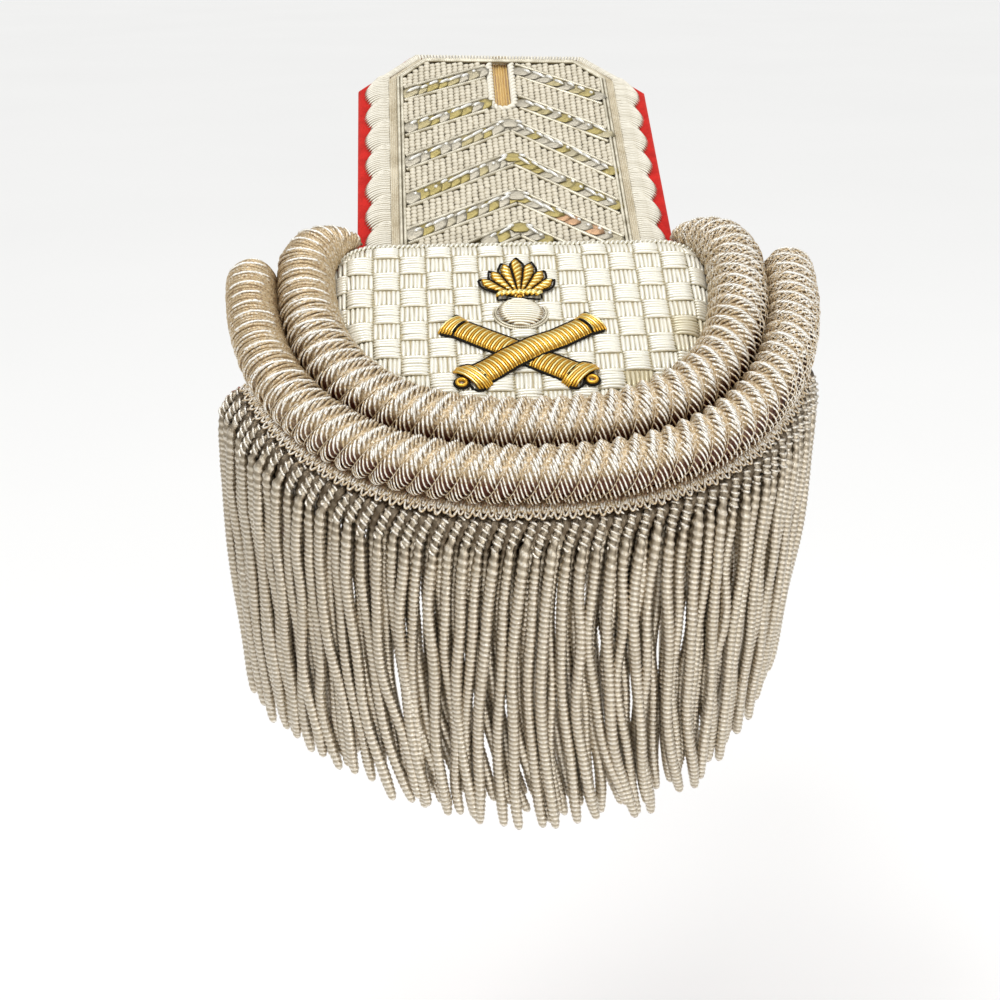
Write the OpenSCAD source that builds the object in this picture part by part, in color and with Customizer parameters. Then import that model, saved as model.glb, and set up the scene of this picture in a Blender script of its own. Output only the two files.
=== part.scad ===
// Fringed dress shoulder board: a cloth-covered strap faced with silver lace, a padded
// crescent with an embroidered badge, two bullion-wrapped rolls round it, and a curtain
// of coiled bullion fringe. Millimetres. +X is across the board, +Z is up, and the strap
// climbs along +Y from the crescent to its neck end. Everything but the fall of the fringe
// is drawn flat, with the cloth's underside at height 0, and is then tilted by the slope.

/* [Slope] */
// Tilt of the strap as it lies on a shoulder
slope = 28; // [20:1:35]

/* [Strap] */
// Width of the cloth over its red edges
strap_w = 66.4; // [62:0.2:70]
// Length of the strap from the pad's top edge to the neck end
strap_l = 72.8; // [70:0.1:78]
// How much the strap and its lace fall away to the right, as a slope
skew = 0.05; // [0:0.01:0.05]
// Width that each neck corner is cut back
chamfer_w = 12.2; // [10:0.1:14]
// Length that each neck corner is cut back
chamfer_l = 13.8; // [12:0.1:16]
// Thickness of the cloth-covered board
cloth_t = 3; // [2:0.1:3]

/* [Lace] */
// Thickness of the lace facing
lace_t = 0.8; // [0.6:0.1:1]
// Half width of the woven field
field_w = 22.9; // [22:0.1:23.5]
// Length of one scallop of the satin edge
scallop_pitch = 8.8; // [8:0.1:10]
// How far a scallop stands out
scallop_out = 2; // [1:0.1:2.4]

/* [Chevrons] */
// Distance from one chevron to the next
chevron_pitch = 12.2; // [11.5:0.1:12.6]
// How far a chevron's point stands above its left end
chevron_drop_left = 13.8; // [12:0.2:15]
// How far a chevron's point stands above its right end
chevron_drop_right = 17; // [12:0.2:18]
// Width of a chevron along the strap
chevron_w = 4.5; // [4:0.1:5.2]

/* [Button slot] */
// Half width of the slot
slot_w = 1.85; // [1.5:0.05:2]
// Distance of the slot's round end from the neck end
slot_l = 19.8; // [18:0.2:22]

/* [Crescent] */
// Half width between the outer roll's centre lines
crescent_a = 53.8; // [52:0.1:56]
// Depth of the outer roll's centre line in front of its widest place
crescent_b = 57.4; // [55:0.1:60]
// Squareness of the crescent, where 2 is an ellipse
squareness = 2.35; // [2.1:0.05:2.6]
// Diameter of the inner bullion roll
inner_roll_d = 11.2; // [10:0.1:11.4]
// Diameter of the outer bullion roll
outer_roll_d = 10; // [9:0.1:10.4]
// Height of the pad over the cloth
pad_h = 4.7; // [4:0.1:6]

/* [Fringe] */
// Fall of the fringe below its bend
fringe_l = 59; // [50:1:64]
// Locks of coiled bullion round the crescent
lock_count = 42; // [30:1:44]
// How far the fringe stands out before it falls
fringe_out = 2.9; // [2:0.1:4]
// How far the whole fringe swings over to the left
fringe_swing = 1.6; // [0:0.1:2]

/* [Hidden] */

// Clearance between neighbouring pieces
gap = 0.15;
// Centre of the crescent's ellipse, behind the pad's top edge
crescent_v0 = -9.7;
inner_roll_r = inner_roll_d / 2;
outer_roll_r = outer_roll_d / 2;
// Offset of the inner roll's centre line from the outer one's
inner_offset = -(inner_roll_r + outer_roll_r + gap);
// Offset of the pad's foot from the outer roll's centre line
pad_offset = inner_offset - inner_roll_r - gap;
pad_half_w = crescent_a + pad_offset;
pad_top_v = -0.4;
cloth_rim = 3.2;
roll_floor = cloth_t + 0.1;

// The line of the cloth's neck corner: all bands of the lace follow it
half_w = strap_w / 2;
corner_normal = unit([chamfer_l, chamfer_w]);
corner_reach = corner_normal * [half_w, strap_l - chamfer_l];

// Bands of the lace from the outside in: half width, top, inset from the corner line
SATIN_OUT = [29.3, strap_l - 0.2, 0.2];
SATIN_IN = [26, strap_l - 2.8, 3.5];
BORDER_IN = [24, strap_l - 3.3, 4.8];
PURL_IN = [field_w + gap, strap_l - 4, 5.4];

slot_end_v = strap_l - slot_l;
slot_cord_r = 0.7;
slot_cord_x = slot_w + slot_cord_r + 0.1;
slot_top_v = PURL_IN[1] - 0.3;
chevron_1_v = 70;
chevron_point_x = 1;
// How far each hand-sewn chevron strays from its even place: left end, point, right end
CHEVRON_STRAY = [
  [2.8, -0.4, 3.1],
  [1.4, -0.6, 1],
  [1.1, 1.1, -0.6],
  [0.2, 0.7, -0.5],
  [0.3, -0.6, -0.7],
  [0, 0.7, 0]
];

// The badge sits a little left of the middle; its barrels cross at this height on the pad
badge_x = -0.9;
barrel_angle = 31.5;
barrel_cross_v = -36;
barrel_sunk = 2;

function unit(v) = v / norm(v);
function skewed(p) = [p.x, p.y - skew * p.x * max(0, p.y) / strap_l];
function signed_power(base, power) = sign(base) * pow(abs(base), power);

// Points of the crescent's centre line: 180 is its left end, 270 its front, 360 its right end
function crescent_at(t) = [
  crescent_a * signed_power(cos(t), 2 / squareness),
  crescent_v0 + crescent_b * signed_power(sin(t), 2 / squareness)
];
function outward_at(t) =
  let (p = crescent_at(t))
  unit([
    signed_power(p.x / crescent_a, squareness - 1) / crescent_a,
    signed_power((p.y - crescent_v0) / crescent_b, squareness - 1) / crescent_b
  ]);
function crescent_offset(t, d) = crescent_at(t) + d * outward_at(t);

// Length along the crescent against its angle, so that pieces can be spaced evenly
TABLE_STEPS = 120;
dense_line = [for (i = [0:TABLE_STEPS]) crescent_at(180 + 180 * i / TABLE_STEPS)];
length_table = [
  for (i = 0, s = 0; i <= TABLE_STEPS; s = s + norm(dense_line[min(i + 1, TABLE_STEPS)] - dense_line[i]), i = i + 1)
  [s, 180 + 180 * i / TABLE_STEPS]
];
crescent_length = length_table[TABLE_STEPS][0];
function angle_at(fraction) = lookup(fraction * crescent_length, length_table);

// Outline of a strap layer: half width, top and inset from the corner line, down to v_low
function strap_outline(band, v_low) =
  let (
    w = band[0],
    top = band[1],
    reach = corner_reach - band[2],
    side_v = (reach - corner_normal.x * w) / corner_normal.y,
    top_x = (reach - corner_normal.y * top) / corner_normal.x
  )
  [for (p = [[-w, v_low], [-w, side_v], [-top_x, top], [top_x, top], [w, side_v], [w, v_low]])
    skewed(p)];

// Edge of the satin stitching on one side, from the pad to the corner: round scallops
function scallop_side(side) =
  let (
    side_v = (corner_reach - SATIN_OUT[2] - corner_normal.x * SATIN_OUT[0]) / corner_normal.y,
    count = floor(side_v / scallop_pitch),
    steps = 8
  )
  [
    for (i = [0:count * steps - 1])
    let (f = (i % steps) / steps)
    skewed([
      side * (SATIN_OUT[0] + scallop_out * sqrt(sin(180 * f))),
      side_v - (count - i / steps) * scallop_pitch
    ])
  ];

// A pipe along points with a radius at each, closed at both ends
function pipe_ring(path, radii, i, sides) =
  let (
    along = unit(path[min(i + 1, len(path) - 1)] - path[max(i - 1, 0)]),
    side = unit(cross(along, [0, 0, 1])),
    up = cross(side, along)
  )
  [for (k = [0:sides - 1]) path[i] + radii[i] * (side * cos(360 * k / sides) + up * sin(360 * k / sides))];

module pipe(path, radii, sides) {
  rings = len(path);
  polyhedron(
    points = [for (i = [0:rings - 1]) each pipe_ring(path, radii, i, sides)],
    faces = ring_faces(rings, sides)
  );
}

// Faces of a stack of rings, with flat ends
function ring_faces(rings, sides) = concat(
  [[for (k = [0:sides - 1]) k]],
  [
    for (i = [0:rings - 2], k = [0:sides - 1])
    each let (a = i * sides + k, b = i * sides + (k + 1) % sides)
    [[a, a + sides, b], [b, a + sides, b + sides]]
  ],
  [[for (k = [sides - 1:-1:0]) (rings - 1) * sides + k]]
);

// Rounds a roll's end off: angles of the added rings, from the roll to its tip
END_ANGLES = [25, 50, 72, 86];
function round_end(point, direction, r) =
  [for (a = END_ANGLES) concat(point + direction * r * sin(a), r * cos(a))];

module on_strap() {
  rotate([slope, 0, 0]) children();
}

// The strap and the crescent's bed, one cloth-covered board with the button slot cut through it
module cloth_outline() {
  strap = strap_outline([half_w, strap_l, 0], 2);
  bed = [for (i = [0:48]) crescent_offset(angle_at(0.03 + 0.94 * i / 48), cloth_rim)];
  shoulders = [[48, -8.5], [44, -2.4], [38, 1.4]];
  difference() {
    polygon(concat(
      bed,
      shoulders,
      [for (i = [5:-1:0]) strap[i]],
      [for (i = [len(shoulders) - 1:-1:0]) [-shoulders[i].x, shoulders[i].y]]
    ));
    slot_outline();
  }
}

module slot_outline() {
  translate([0, slot_end_v]) circle(r = slot_w, $fn = 48);
  translate([-slot_w, slot_end_v]) square([2 * slot_w, slot_top_v - slot_end_v]);
}

module cloth_backing() {
  color("#c4281f") on_strap() linear_extrude(cloth_t) cloth_outline();
}

// Satin-stitched lace edge with a scalloped outside
module scalloped_edge() {
  inner = strap_outline(SATIN_IN, 0.6);
  outer = strap_outline(SATIN_OUT, 0.6);
  left = scallop_side(-1);
  right = scallop_side(1);
  color("#efeadb") on_strap() translate([0, 0, cloth_t + 0.05]) linear_extrude(lace_t) polygon(concat(
    [[-SATIN_OUT[0], 0.6]],
    left,
    [for (i = [1:4]) outer[i]],
    [for (i = [len(right) - 1:-1:0]) right[i]],
    [[SATIN_OUT[0], 0.6]],
    [for (i = [5:-1:0]) inner[i]]
  ));
}

// A band of the lace between two outlines
module lace_band(outer_band, inner_band, height) {
  outer = strap_outline(outer_band - [gap / 2, gap / 2, -gap / 2], 0.6);
  inner = strap_outline(inner_band + [gap / 2, gap / 2, -gap / 2], 0.6);
  on_strap() translate([0, 0, cloth_t + 0.05]) linear_extrude(height) polygon(concat(
    outer,
    [for (i = [5:-1:0]) inner[i]]
  ));
}

// Flat tan braid inside the satin edge
module flat_border() {
  color("#cbbf9f") lace_band(SATIN_IN, BORDER_IN, lace_t + 0.1);
}

// Fine coiled wire round the woven field
module purl_border() {
  color("#ddd6c0") lace_band(BORDER_IN, PURL_IN, lace_t + 0.5);
}

// Woven lace field
module woven_panel() {
  color("#e9e3d2") on_strap() translate([0, 0, cloth_t + 0.05]) linear_extrude(lace_t) difference() {
    polygon(strap_outline(PURL_IN - [gap, gap, 0], 0.6));
    slot_room();
  }
}

// The place that the slot and its cord take out of the lace
module slot_room() {
  r = slot_cord_x + slot_cord_r + 0.1;
  translate([0, slot_end_v]) circle(r = r, $fn = 48);
  translate([-r, slot_end_v]) square([2 * r, slot_top_v + 1 - slot_end_v]);
}

// Chevrons: two fine wire lines with a flat twisted strip between them, inside the field.
// The upper edge's height at the left end, at the point and at the right end
function chevron_edge(index) =
  let (even = chevron_1_v - (index - 1) * chevron_pitch)
  [even - chevron_drop_left, even, even - chevron_drop_right] + CHEVRON_STRAY[index - 1];

module chevron_bar(edge, width) {
  x = field_w;
  polygon([
    [-x, edge[0]], [chevron_point_x, edge[1]], [x, edge[2]],
    [x, edge[2] - width], [chevron_point_x, edge[1] - width], [-x, edge[0] - width]
  ]);
}

module chevron_slice(edge, below, width, height) {
  linear_extrude(height) difference() {
    intersection() {
      chevron_bar(edge - [below, below, below], width);
      polygon(strap_outline(PURL_IN - [gap, gap, 0], 0.8));
    }
    slot_room();
  }
}

module chevron(index) {
  edge = chevron_edge(index);
  line_w = 0.9;
  strip_w = chevron_w - 2 * line_w - 0.8;
  color("#dcd3b4") on_strap() translate([0, 0, cloth_t + lace_t + 0.1]) {
    chevron_slice(edge, 0, chevron_w, 0.3);
    chevron_slice(edge, 0, line_w, 0.7);
    chevron_slice(edge, line_w + 0.4, strip_w, 0.9);
    chevron_slice(edge, chevron_w - line_w, line_w, 0.7);
  }
}

// Twisted cord round the button slot
module slot_cord() {
  length = slot_top_v - slot_end_v;
  color("#f2eee0") on_strap() translate([0, slot_end_v, cloth_t + 0.05 + slot_cord_r]) {
    rotate([0, 0, 180]) rotate_extrude(angle = 180) translate([slot_cord_x, 0]) circle(r = slot_cord_r, $fn = 32);
    for (side = [-1, 1])
      translate([side * slot_cord_x, 0, 0]) rotate([-90, 0, 0]) cylinder(r = slot_cord_r, h = length, $fn = 32);
  }
}

// Two cloth lips that meet in the slot, joined at its neck end
module slot_lining() {
  lip_r = slot_w / 2 - 0.08;
  lip_l = slot_top_v - slot_end_v - 0.3;
  color("#c9a049") on_strap() translate([0, slot_end_v, cloth_t - lip_r - 0.2]) {
    for (side = [-1, 1]) translate([side * (lip_r + 0.04), 0, 0]) {
      rotate([-90, 0, 0]) cylinder(r = lip_r, h = lip_l, $fn = 32);
      translate([-lip_r, 0, -1.4]) cube([2 * lip_r, lip_l, 1.4]);
    }
    translate([-slot_w + 0.1, lip_l - 0.8, -1.4]) cube([2 * slot_w - 0.2, 0.8, 1.4]);
  }
}

// Padded crescent in basket-stitched bullion: inset of each outline and its height
PAD_SECTIONS = [[0, 0.1], [0, 1.3], [0.5, 2.4], [1.4, 3.4], [2.7, 4.25], [4.4, pad_h]];
PAD_FRONT_STEPS = 40;
PAD_CORNER_STEPS = 8;

function pad_outline(inset) =
  let (
    corner = pad_top_v - crescent_v0,
    corner_x = pad_half_w - corner
  )
  concat(
    [for (i = [0:PAD_FRONT_STEPS]) crescent_offset(angle_at(i / PAD_FRONT_STEPS), pad_offset - inset)],
    [for (i = [1:PAD_CORNER_STEPS]) let (a = 90 * i / PAD_CORNER_STEPS)
      [corner_x, crescent_v0] + (corner - inset) * [cos(a), sin(a)]],
    [for (i = [0:PAD_CORNER_STEPS - 1]) let (a = 90 + 90 * i / PAD_CORNER_STEPS)
      [-corner_x, crescent_v0] + (corner - inset) * [cos(a), sin(a)]]
  );

module crescent_pad() {
  outlines = [for (row = PAD_SECTIONS) [for (p = pad_outline(row[0])) [p.x, p.y, cloth_t + row[1]]]];
  color("#eee9da") on_strap() polyhedron(
    points = [for (outline = outlines) each outline],
    faces = ring_faces(len(outlines), len(outlines[0]))
  );
}

// Coiled wire along the pad's top edge and round its two top corners
module pad_purl() {
  r = 0.5;
  corner = pad_top_v - crescent_v0 + r + gap;
  corner_x = pad_half_w - (pad_top_v - crescent_v0);
  arc = [for (i = [2:8]) let (a = 90 * i / 8) [corner_x + corner * cos(a), crescent_v0 + corner * sin(a)]];
  line = concat(arc, [for (i = [6:-1:0]) [-arc[i].x, arc[i].y]]);
  path = [for (p = line) [p.x, p.y, cloth_t + lace_t + 0.1 + r]];
  color("#e4dcc4") on_strap() pipe(path, [for (p = path) r], 6);
}

// Badge: everything on it lies on the pad's flat top
module on_pad() {
  on_strap() translate([badge_x, 0, cloth_t + pad_h + 0.05]) children();
}

// Seven flames rise fanwise from a twisted band: angle from upright, length of each
FLAMES = [[-54, 9.3], [-34, 9.6], [-16, 10.6], [0, 11.8], [16, 10.8], [34, 9.4], [54, 8.6]];
flame_root_v = -20.2;
ball_v = -24.5;

module flame(angle, length) {
  root = 1.4;
  half = 1.15;
  rotate(-angle) polygon([
    [-0.45, root], [-half, length * 0.6], [-0.6 * half, length * 0.88], [0, length],
    [0.6 * half, length * 0.88], [half, length * 0.6], [0.45, root]
  ]);
}

module grenade_flames() {
  color("#d29a1c") on_pad() {
    translate([0, flame_root_v, 0]) linear_extrude(1.2) for (row = FLAMES) flame(row[0], row[1]);
    translate([0, flame_root_v, 0]) linear_extrude(0.9) polygon([
      [-4.2, 0.3], [-3.9, 1.7], [0, 2], [3.9, 1.7], [4.2, 0.3], [2.6, -0.1], [0, 0.3], [-2.6, -0.1]
    ]);
  }
}

// A domed cap of a sphere that stands a given height over the pad
module grenade_ball() {
  r = 4.3;
  height = 1.6;
  sphere_r = (r * r + height * height) / (2 * height);
  color("#e6e4de") on_pad() translate([0, ball_v, 0]) intersection() {
    translate([0, 0, height - sphere_r]) sphere(r = sphere_r, $fn = 96);
    translate([-r - 1, -r - 1, 0]) cube([2 * r + 2, 2 * r + 2, height + 1]);
  }
}

// Gun barrels: cones with their axis sunk below the pad's top, breech at the low end.
// Distance along the barrel and radius, at the breech, its band, the muzzle band and the muzzle
BREECH = [-13.1, 4.05];
BREECH_BAND = [-10.6, 3.7];
MUZZLE_BAND = [14.2, 3.35];
MUZZLE = [16.7, 3.7];

module barrel_part(from, to, extra) {
  translate([from[0], 0, -barrel_sunk]) rotate([0, 90, 0])
    cylinder(r1 = from[1] + extra, r2 = to[1] + extra, h = to[0] - from[0], $fn = 96);
}

module barrel() {
  intersection() {
    union() {
      barrel_part(BREECH, BREECH_BAND, 0);
      barrel_part(BREECH_BAND, MUZZLE_BAND, -0.25);
      barrel_part(MUZZLE_BAND, MUZZLE, 0);
    }
    translate([-20, -5, 0]) cube([40, 10, 4]);
  }
  translate([BREECH[0] - 1.5, 0, 0]) difference() {
    cylinder(r = 1.7, h = 0.9, $fn = 48);
    translate([0, 0, -1]) cylinder(r = 0.7, h = 3, $fn = 48);
  }
}

// The place where the two barrels cross, cut from one below and from the other above
module crossing(z_low, z_high) {
  rotate([0, 0, -2 * barrel_angle]) translate([-30, -3.6, z_low]) cube([60, 7.2, z_high - z_low]);
}

module cannon_over() {
  color("#e0a020") on_pad() translate([0, barrel_cross_v, 0]) rotate([0, 0, barrel_angle]) difference() {
    barrel();
    crossing(-1, 0.75);
  }
}

module cannon_under() {
  color("#d99a1e") on_pad() translate([0, barrel_cross_v, 0]) rotate([0, 0, 180 - barrel_angle]) difference() {
    barrel();
    rotate([0, 0, 4 * barrel_angle]) crossing(0.6, 6);
  }
}

// Inner roll: its ends turn in to the strap: x, v, height of the centre and radius of each section
ROLL_END = [
  [42.7, -8.8, inner_roll_r, inner_roll_r],
  [41.4, -4.9, inner_roll_r - 0.3, inner_roll_r - 0.35],
  [39, -1.4, 4.4, 4.25],
  [36.2, 0.9, 3.3, 3.15],
  [33.9, 2, 2.2, 2.05],
  [32.9, 2.3, 1.7, 1.4]
];
INNER_ROLL_STEPS = 44;

module inner_roll() {
  front = [
    for (i = [0:INNER_ROLL_STEPS])
    let (p = crescent_offset(angle_at(i / INNER_ROLL_STEPS), inner_offset))
    [p.x, p.y, inner_roll_r, inner_roll_r]
  ];
  left = [for (i = [len(ROLL_END) - 1:-1:0]) [-ROLL_END[i][0], ROLL_END[i][1], ROLL_END[i][2], ROLL_END[i][3]]];
  sections = concat(left, front, ROLL_END);
  path = [for (s = sections) [s[0], s[1], roll_floor + s[2]]];
  color("#cfb896") on_strap() pipe(path, [for (s = sections) s[3]], 12);
}

// Outer roll: a plain U with round ends, lying against the inner one
OUTER_ROLL_STEPS = 40;
outer_roll_start = 0.022;

module outer_roll() {
  span = 1 - 2 * outer_roll_start;
  middle = [
    for (i = [0:OUTER_ROLL_STEPS])
    let (p = crescent_at(angle_at(outer_roll_start + span * i / OUTER_ROLL_STEPS)))
    [p.x, p.y, roll_floor + outer_roll_r]
  ];
  last = len(middle) - 1;
  head = round_end(middle[last], unit(middle[last] - middle[last - 1]), outer_roll_r);
  tail = round_end(middle[0], unit(middle[0] - middle[1]), outer_roll_r);
  sections = concat(
    [for (i = [len(tail) - 1:-1:0]) tail[i]],
    [for (p = middle) concat(p, outer_roll_r)],
    head
  );
  path = [for (s = sections) [s[0], s[1], s[2]]];
  color("#cdb794") on_strap() pipe(path, [for (s = sections) s[3]], 12);
}

// Row of small pointed loops under the outer roll, part of the lace that binds the board
picot_start = 0.15;
PICOT_COUNT = 76;
picot_out = 4.9;

module picot_edge() {
  span = 1 - 2 * picot_start;
  tips = [
    for (i = [0:2 * PICOT_COUNT])
    crescent_offset(angle_at(picot_start + span * i / (2 * PICOT_COUNT)), i % 2 == 1 ? picot_out : picot_out - 1)
  ];
  back = [for (i = [PICOT_COUNT:-1:0]) crescent_offset(angle_at(picot_start + span * i / PICOT_COUNT), 3)];
  color("#c9b795") on_strap() translate([0, 0, cloth_t + 0.05]) linear_extrude(0.8) polygon(concat(tips, back));
}

// Fringe: a head sewn round the board's rim, and locks that stand out from it and fall.
// Each lock's section: distance out, part of the fall, half width and half thickness
LOCK_SECTIONS = [
  [-0.6, 0, 1.45, 1.1],
  [0.5 * fringe_out, 0.02, 1.5, 1.3],
  [0.85 * fringe_out, 0.08, 1.55, 1.4],
  [fringe_out, 0.25, 1.6, 1.4],
  [0.9 * fringe_out, 0.6, 1.6, 1.4],
  [0.8 * fringe_out, 0.94, 1.5, 1.2],
  [0.75 * fringe_out, 1, 0.6, 0.5]
];
LOCK_SIDES = 6;
fringe_start = 0.135;
fringe_head = [cloth_rim + 0.3, cloth_rim + 2.2];
// How far the tips of the fringe swing in at the front, at the left end and at the right end
tuck_front = 2;
tuck_left = 5.5;
tuck_right = 9;

function tuck_at(t) =
  let (side = cos(t), reach = side < 0 ? tuck_left : tuck_right)
  tuck_front + (reach - tuck_front) * pow(abs(side), 1.4);

// Straight down, seen from the strap's own plane
down = [0, -sin(slope), -cos(slope)];

function lock_ring(t, row, fall) =
  let (
    root = crescent_offset(t, fringe_head[1]),
    out = outward_at(t),
    along = [-out.y, out.x, 0],
    centre = [root.x, root.y, cloth_t / 2]
      + [out.x, out.y, 0] * (row[0] - tuck_at(t) * pow(row[1], 1.6))
      - [fringe_swing * row[0] / fringe_out, 0, 0]
      + down * fall * row[1],
    face = row[1] < 0.02 ? [0, 0, 1] : [out.x, out.y, 0]
  )
  [
    for (k = [0:LOCK_SIDES - 1])
    let (a = 360 * k / LOCK_SIDES)
    centre + along * row[2] * cos(a) + face * row[3] * sin(a)
  ];

module lock(index) {
  t = angle_at(fringe_start + (1 - 2 * fringe_start) * (index + 0.5) / lock_count);
  fall = fringe_l * (1 + 0.03 * sin(97 * index));
  polyhedron(
    points = [for (row = LOCK_SECTIONS) each lock_ring(t, row, fall)],
    faces = ring_faces(len(LOCK_SECTIONS), LOCK_SIDES)
  );
}

HEAD_STEPS = 30;

module fringe_post(i) {
  t = angle_at(fringe_start + (1 - 2 * fringe_start) * i / HEAD_STEPS);
  for (d = fringe_head)
    translate(crescent_offset(t, d)) cylinder(r = 0.1, h = cloth_t, $fn = 6);
}

module bullion_fringe() {
  color("#b8ab90") on_strap() union() {
    for (i = [0:HEAD_STEPS - 1]) hull() {
      fringe_post(i);
      fringe_post(i + 1);
    }
    for (index = [0:lock_count - 1]) lock(index);
  }
}

// Plain metal tongue under the strap, fixed by its foot, that slides under a loop on the
// coat's shoulder towards the collar
tongue_w = 14;
tongue_l = 50;
tongue_t = 1.2;
tongue_gap = 3;
tongue_foot = 9;
tongue_start = -4;

module fixing_tongue() {
  color("#b9975a") on_strap() translate([-tongue_w / 2, tongue_start, -tongue_gap - tongue_t]) {
    cube([tongue_w, tongue_l, tongue_t]);
    cube([tongue_w, tongue_foot, tongue_gap + tongue_t - 0.1]);
  }
}

cloth_backing();
scalloped_edge();
flat_border();
purl_border();
woven_panel();
chevron(1);  // chevron_1
chevron(2);  // chevron_2
chevron(3);  // chevron_3
chevron(4);  // chevron_4
chevron(5);  // chevron_5
chevron(6);  // chevron_6
slot_cord();
slot_lining();
crescent_pad();
pad_purl();
grenade_flames();
grenade_ball();
cannon_over();
cannon_under();
inner_roll();
outer_roll();
picot_edge();
bullion_fringe();
fixing_tongue();
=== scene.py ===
from functools import partial
from math import cos, pi, radians, sin

import bmesh
import bpy
import numpy as np
from mathutils import Matrix, Vector


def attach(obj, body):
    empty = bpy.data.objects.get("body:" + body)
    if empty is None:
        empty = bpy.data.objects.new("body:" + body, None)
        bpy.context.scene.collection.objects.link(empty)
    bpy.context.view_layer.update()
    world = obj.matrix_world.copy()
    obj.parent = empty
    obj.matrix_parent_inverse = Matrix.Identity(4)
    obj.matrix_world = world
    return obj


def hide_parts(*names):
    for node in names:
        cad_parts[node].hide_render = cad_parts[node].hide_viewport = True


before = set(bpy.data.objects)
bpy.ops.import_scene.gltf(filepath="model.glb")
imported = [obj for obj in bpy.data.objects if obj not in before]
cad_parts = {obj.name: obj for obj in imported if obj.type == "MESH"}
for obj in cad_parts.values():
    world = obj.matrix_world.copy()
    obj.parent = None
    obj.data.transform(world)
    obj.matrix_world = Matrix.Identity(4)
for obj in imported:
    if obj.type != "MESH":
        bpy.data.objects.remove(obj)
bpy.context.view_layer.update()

# The board. Stiff card covered on both sides with scarlet broadcloth, a milled wool that
# hides its weave. It is glued and turned over the edges, so they are round and matt.
SLOPE = radians(28)
CLOTH_T, TURNED_EDGE = 3.0, 0.9
SCARLET, SCARLET_SHADE, NAP_SHEEN = "#D32822", "#B01C18", "#FF8070"
# The nap's fibres are finer than this, and are drawn as coarse as they need to show
FIBRE_MM, MOTTLE_MM = 0.22, 2.5


def srgb(code):
    """A six-digit sRGB hex as the linear colour that a shader reads."""
    parts = [int(code[i:i + 2], 16) / 255 for i in (1, 3, 5)]
    return [p / 12.92 if p <= 0.04045 else ((p + 0.055) / 1.055) ** 2.4 for p in parts] + [1]


def add(tree, kind, inputs=(), **settings):
    """Adds a shader node with its settings, fills or links its inputs, and returns the output
    that is used: its factor if it has one, or else the first that its settings leave on."""
    node = tree.nodes.new("ShaderNode" + kind)
    for name, value in settings.items():
        setattr(node, name, value)
    for name, value in dict(inputs).items():
        if isinstance(value, bpy.types.NodeSocket):
            tree.links.new(value, node.inputs[name])
        else:
            node.inputs[name].default_value = srgb(value) if isinstance(value, str) else value
    return node.outputs.get("Fac") or next(output for output in node.outputs if output.enabled)


def finish_named(name, plain, linked):
    """A material with its shader's plain values, and with what linked returns for the others.
    linked is given a function that adds a node, the place in the object, and the UV."""
    mat = bpy.data.materials.new(name)
    mat.use_nodes = True
    tree = mat.node_tree
    shader = tree.nodes["Principled BSDF"]
    coords = tree.nodes.new("ShaderNodeTexCoord").outputs
    for key, value in plain.items():
        shader.inputs[key].default_value = value
    for key, socket in linked(partial(add, tree), coords["Object"], coords["UV"]).items():
        tree.links.new(socket, shader.inputs[key])
    return mat


def shaded(node, value, low, high, dark, light):
    """A colour from dark to light as a value goes from low to high."""
    share = node("MapRange", {"Value": value, "From Min": low, "From Max": high})
    return node("Mix", {0: share, 6: dark, 7: light}, data_type="RGBA")


def solid_of(node):
    """A CAD node's solid in millimetres: its loose triangles joined, its flat faces whole."""
    bm = bmesh.new()
    bm.from_mesh(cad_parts[node].data)
    bmesh.ops.scale(bm, vec=(1000, 1000, 1000), verts=bm.verts)
    bmesh.ops.remove_doubles(bm, verts=bm.verts, dist=0.002)
    bmesh.ops.dissolve_limit(bm, angle_limit=radians(2), verts=bm.verts, edges=bm.edges)
    return bm


def round_edges(bm, degrees, size, segments):
    """Rounds the edges of a solid that turn by more than these degrees."""
    sharp = [e for e in bm.edges if len(e.link_faces) == 2 and e.calc_face_angle() > radians(degrees)]
    bmesh.ops.bevel(bm, geom=sharp, offset=size, segments=segments, affect="EDGES", profile=0.5, material=-1)


def on_board(name, bm, finish, tilted=True):
    """Makes a piece of a mesh in millimetres. A tilted one was drawn flat, as on the bench."""
    place = Matrix.Scale(0.001, 4)
    if tilted:
        place = place @ Matrix.Rotation(SLOPE, 4, "X")
    bm.transform(place)
    mesh = bpy.data.meshes.new(name)
    bm.to_mesh(mesh)
    bm.free()
    mesh.shade_smooth()
    mesh.materials.append(finish)
    piece = bpy.data.objects.new(name, mesh)
    bpy.context.scene.collection.objects.link(piece)
    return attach(piece, "root")


def broadcloth_nodes(node, place, uv):
    """Soft mottling where the nap lies both ways, and short fibres that catch the light."""
    mottle = node("TexNoise", {"Vector": place, "Scale": 1000 / MOTTLE_MM, "Detail": 5.0})
    fibre = node("TexNoise", {"Vector": place, "Scale": 1000 / FIBRE_MM, "Detail": 3.0})
    shade = node("Math", {0: mottle, 1: fibre}, operation="MULTIPLY")
    return {"Base Color": shaded(node, shade, 0.15, 0.36, SCARLET_SHADE, SCARLET),
            "Normal": node("Bump", {"Height": fibre, "Strength": 0.5, "Distance": 0.0002})}


broadcloth = finish_named(
    "milled wool broadcloth", {"Roughness": 0.95, "Specular IOR Level": 0.2, "Sheen Weight": 0.35,
                               "Sheen Roughness": 0.5, "Sheen Tint": srgb(NAP_SHEEN)}, broadcloth_nodes)
board = solid_of("cloth_backing")
round_edges(board, 60, TURNED_EDGE, 4)
cover = on_board("cloth_cover", board, broadcloth, tilted=False)
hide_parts("cloth_backing")

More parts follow.
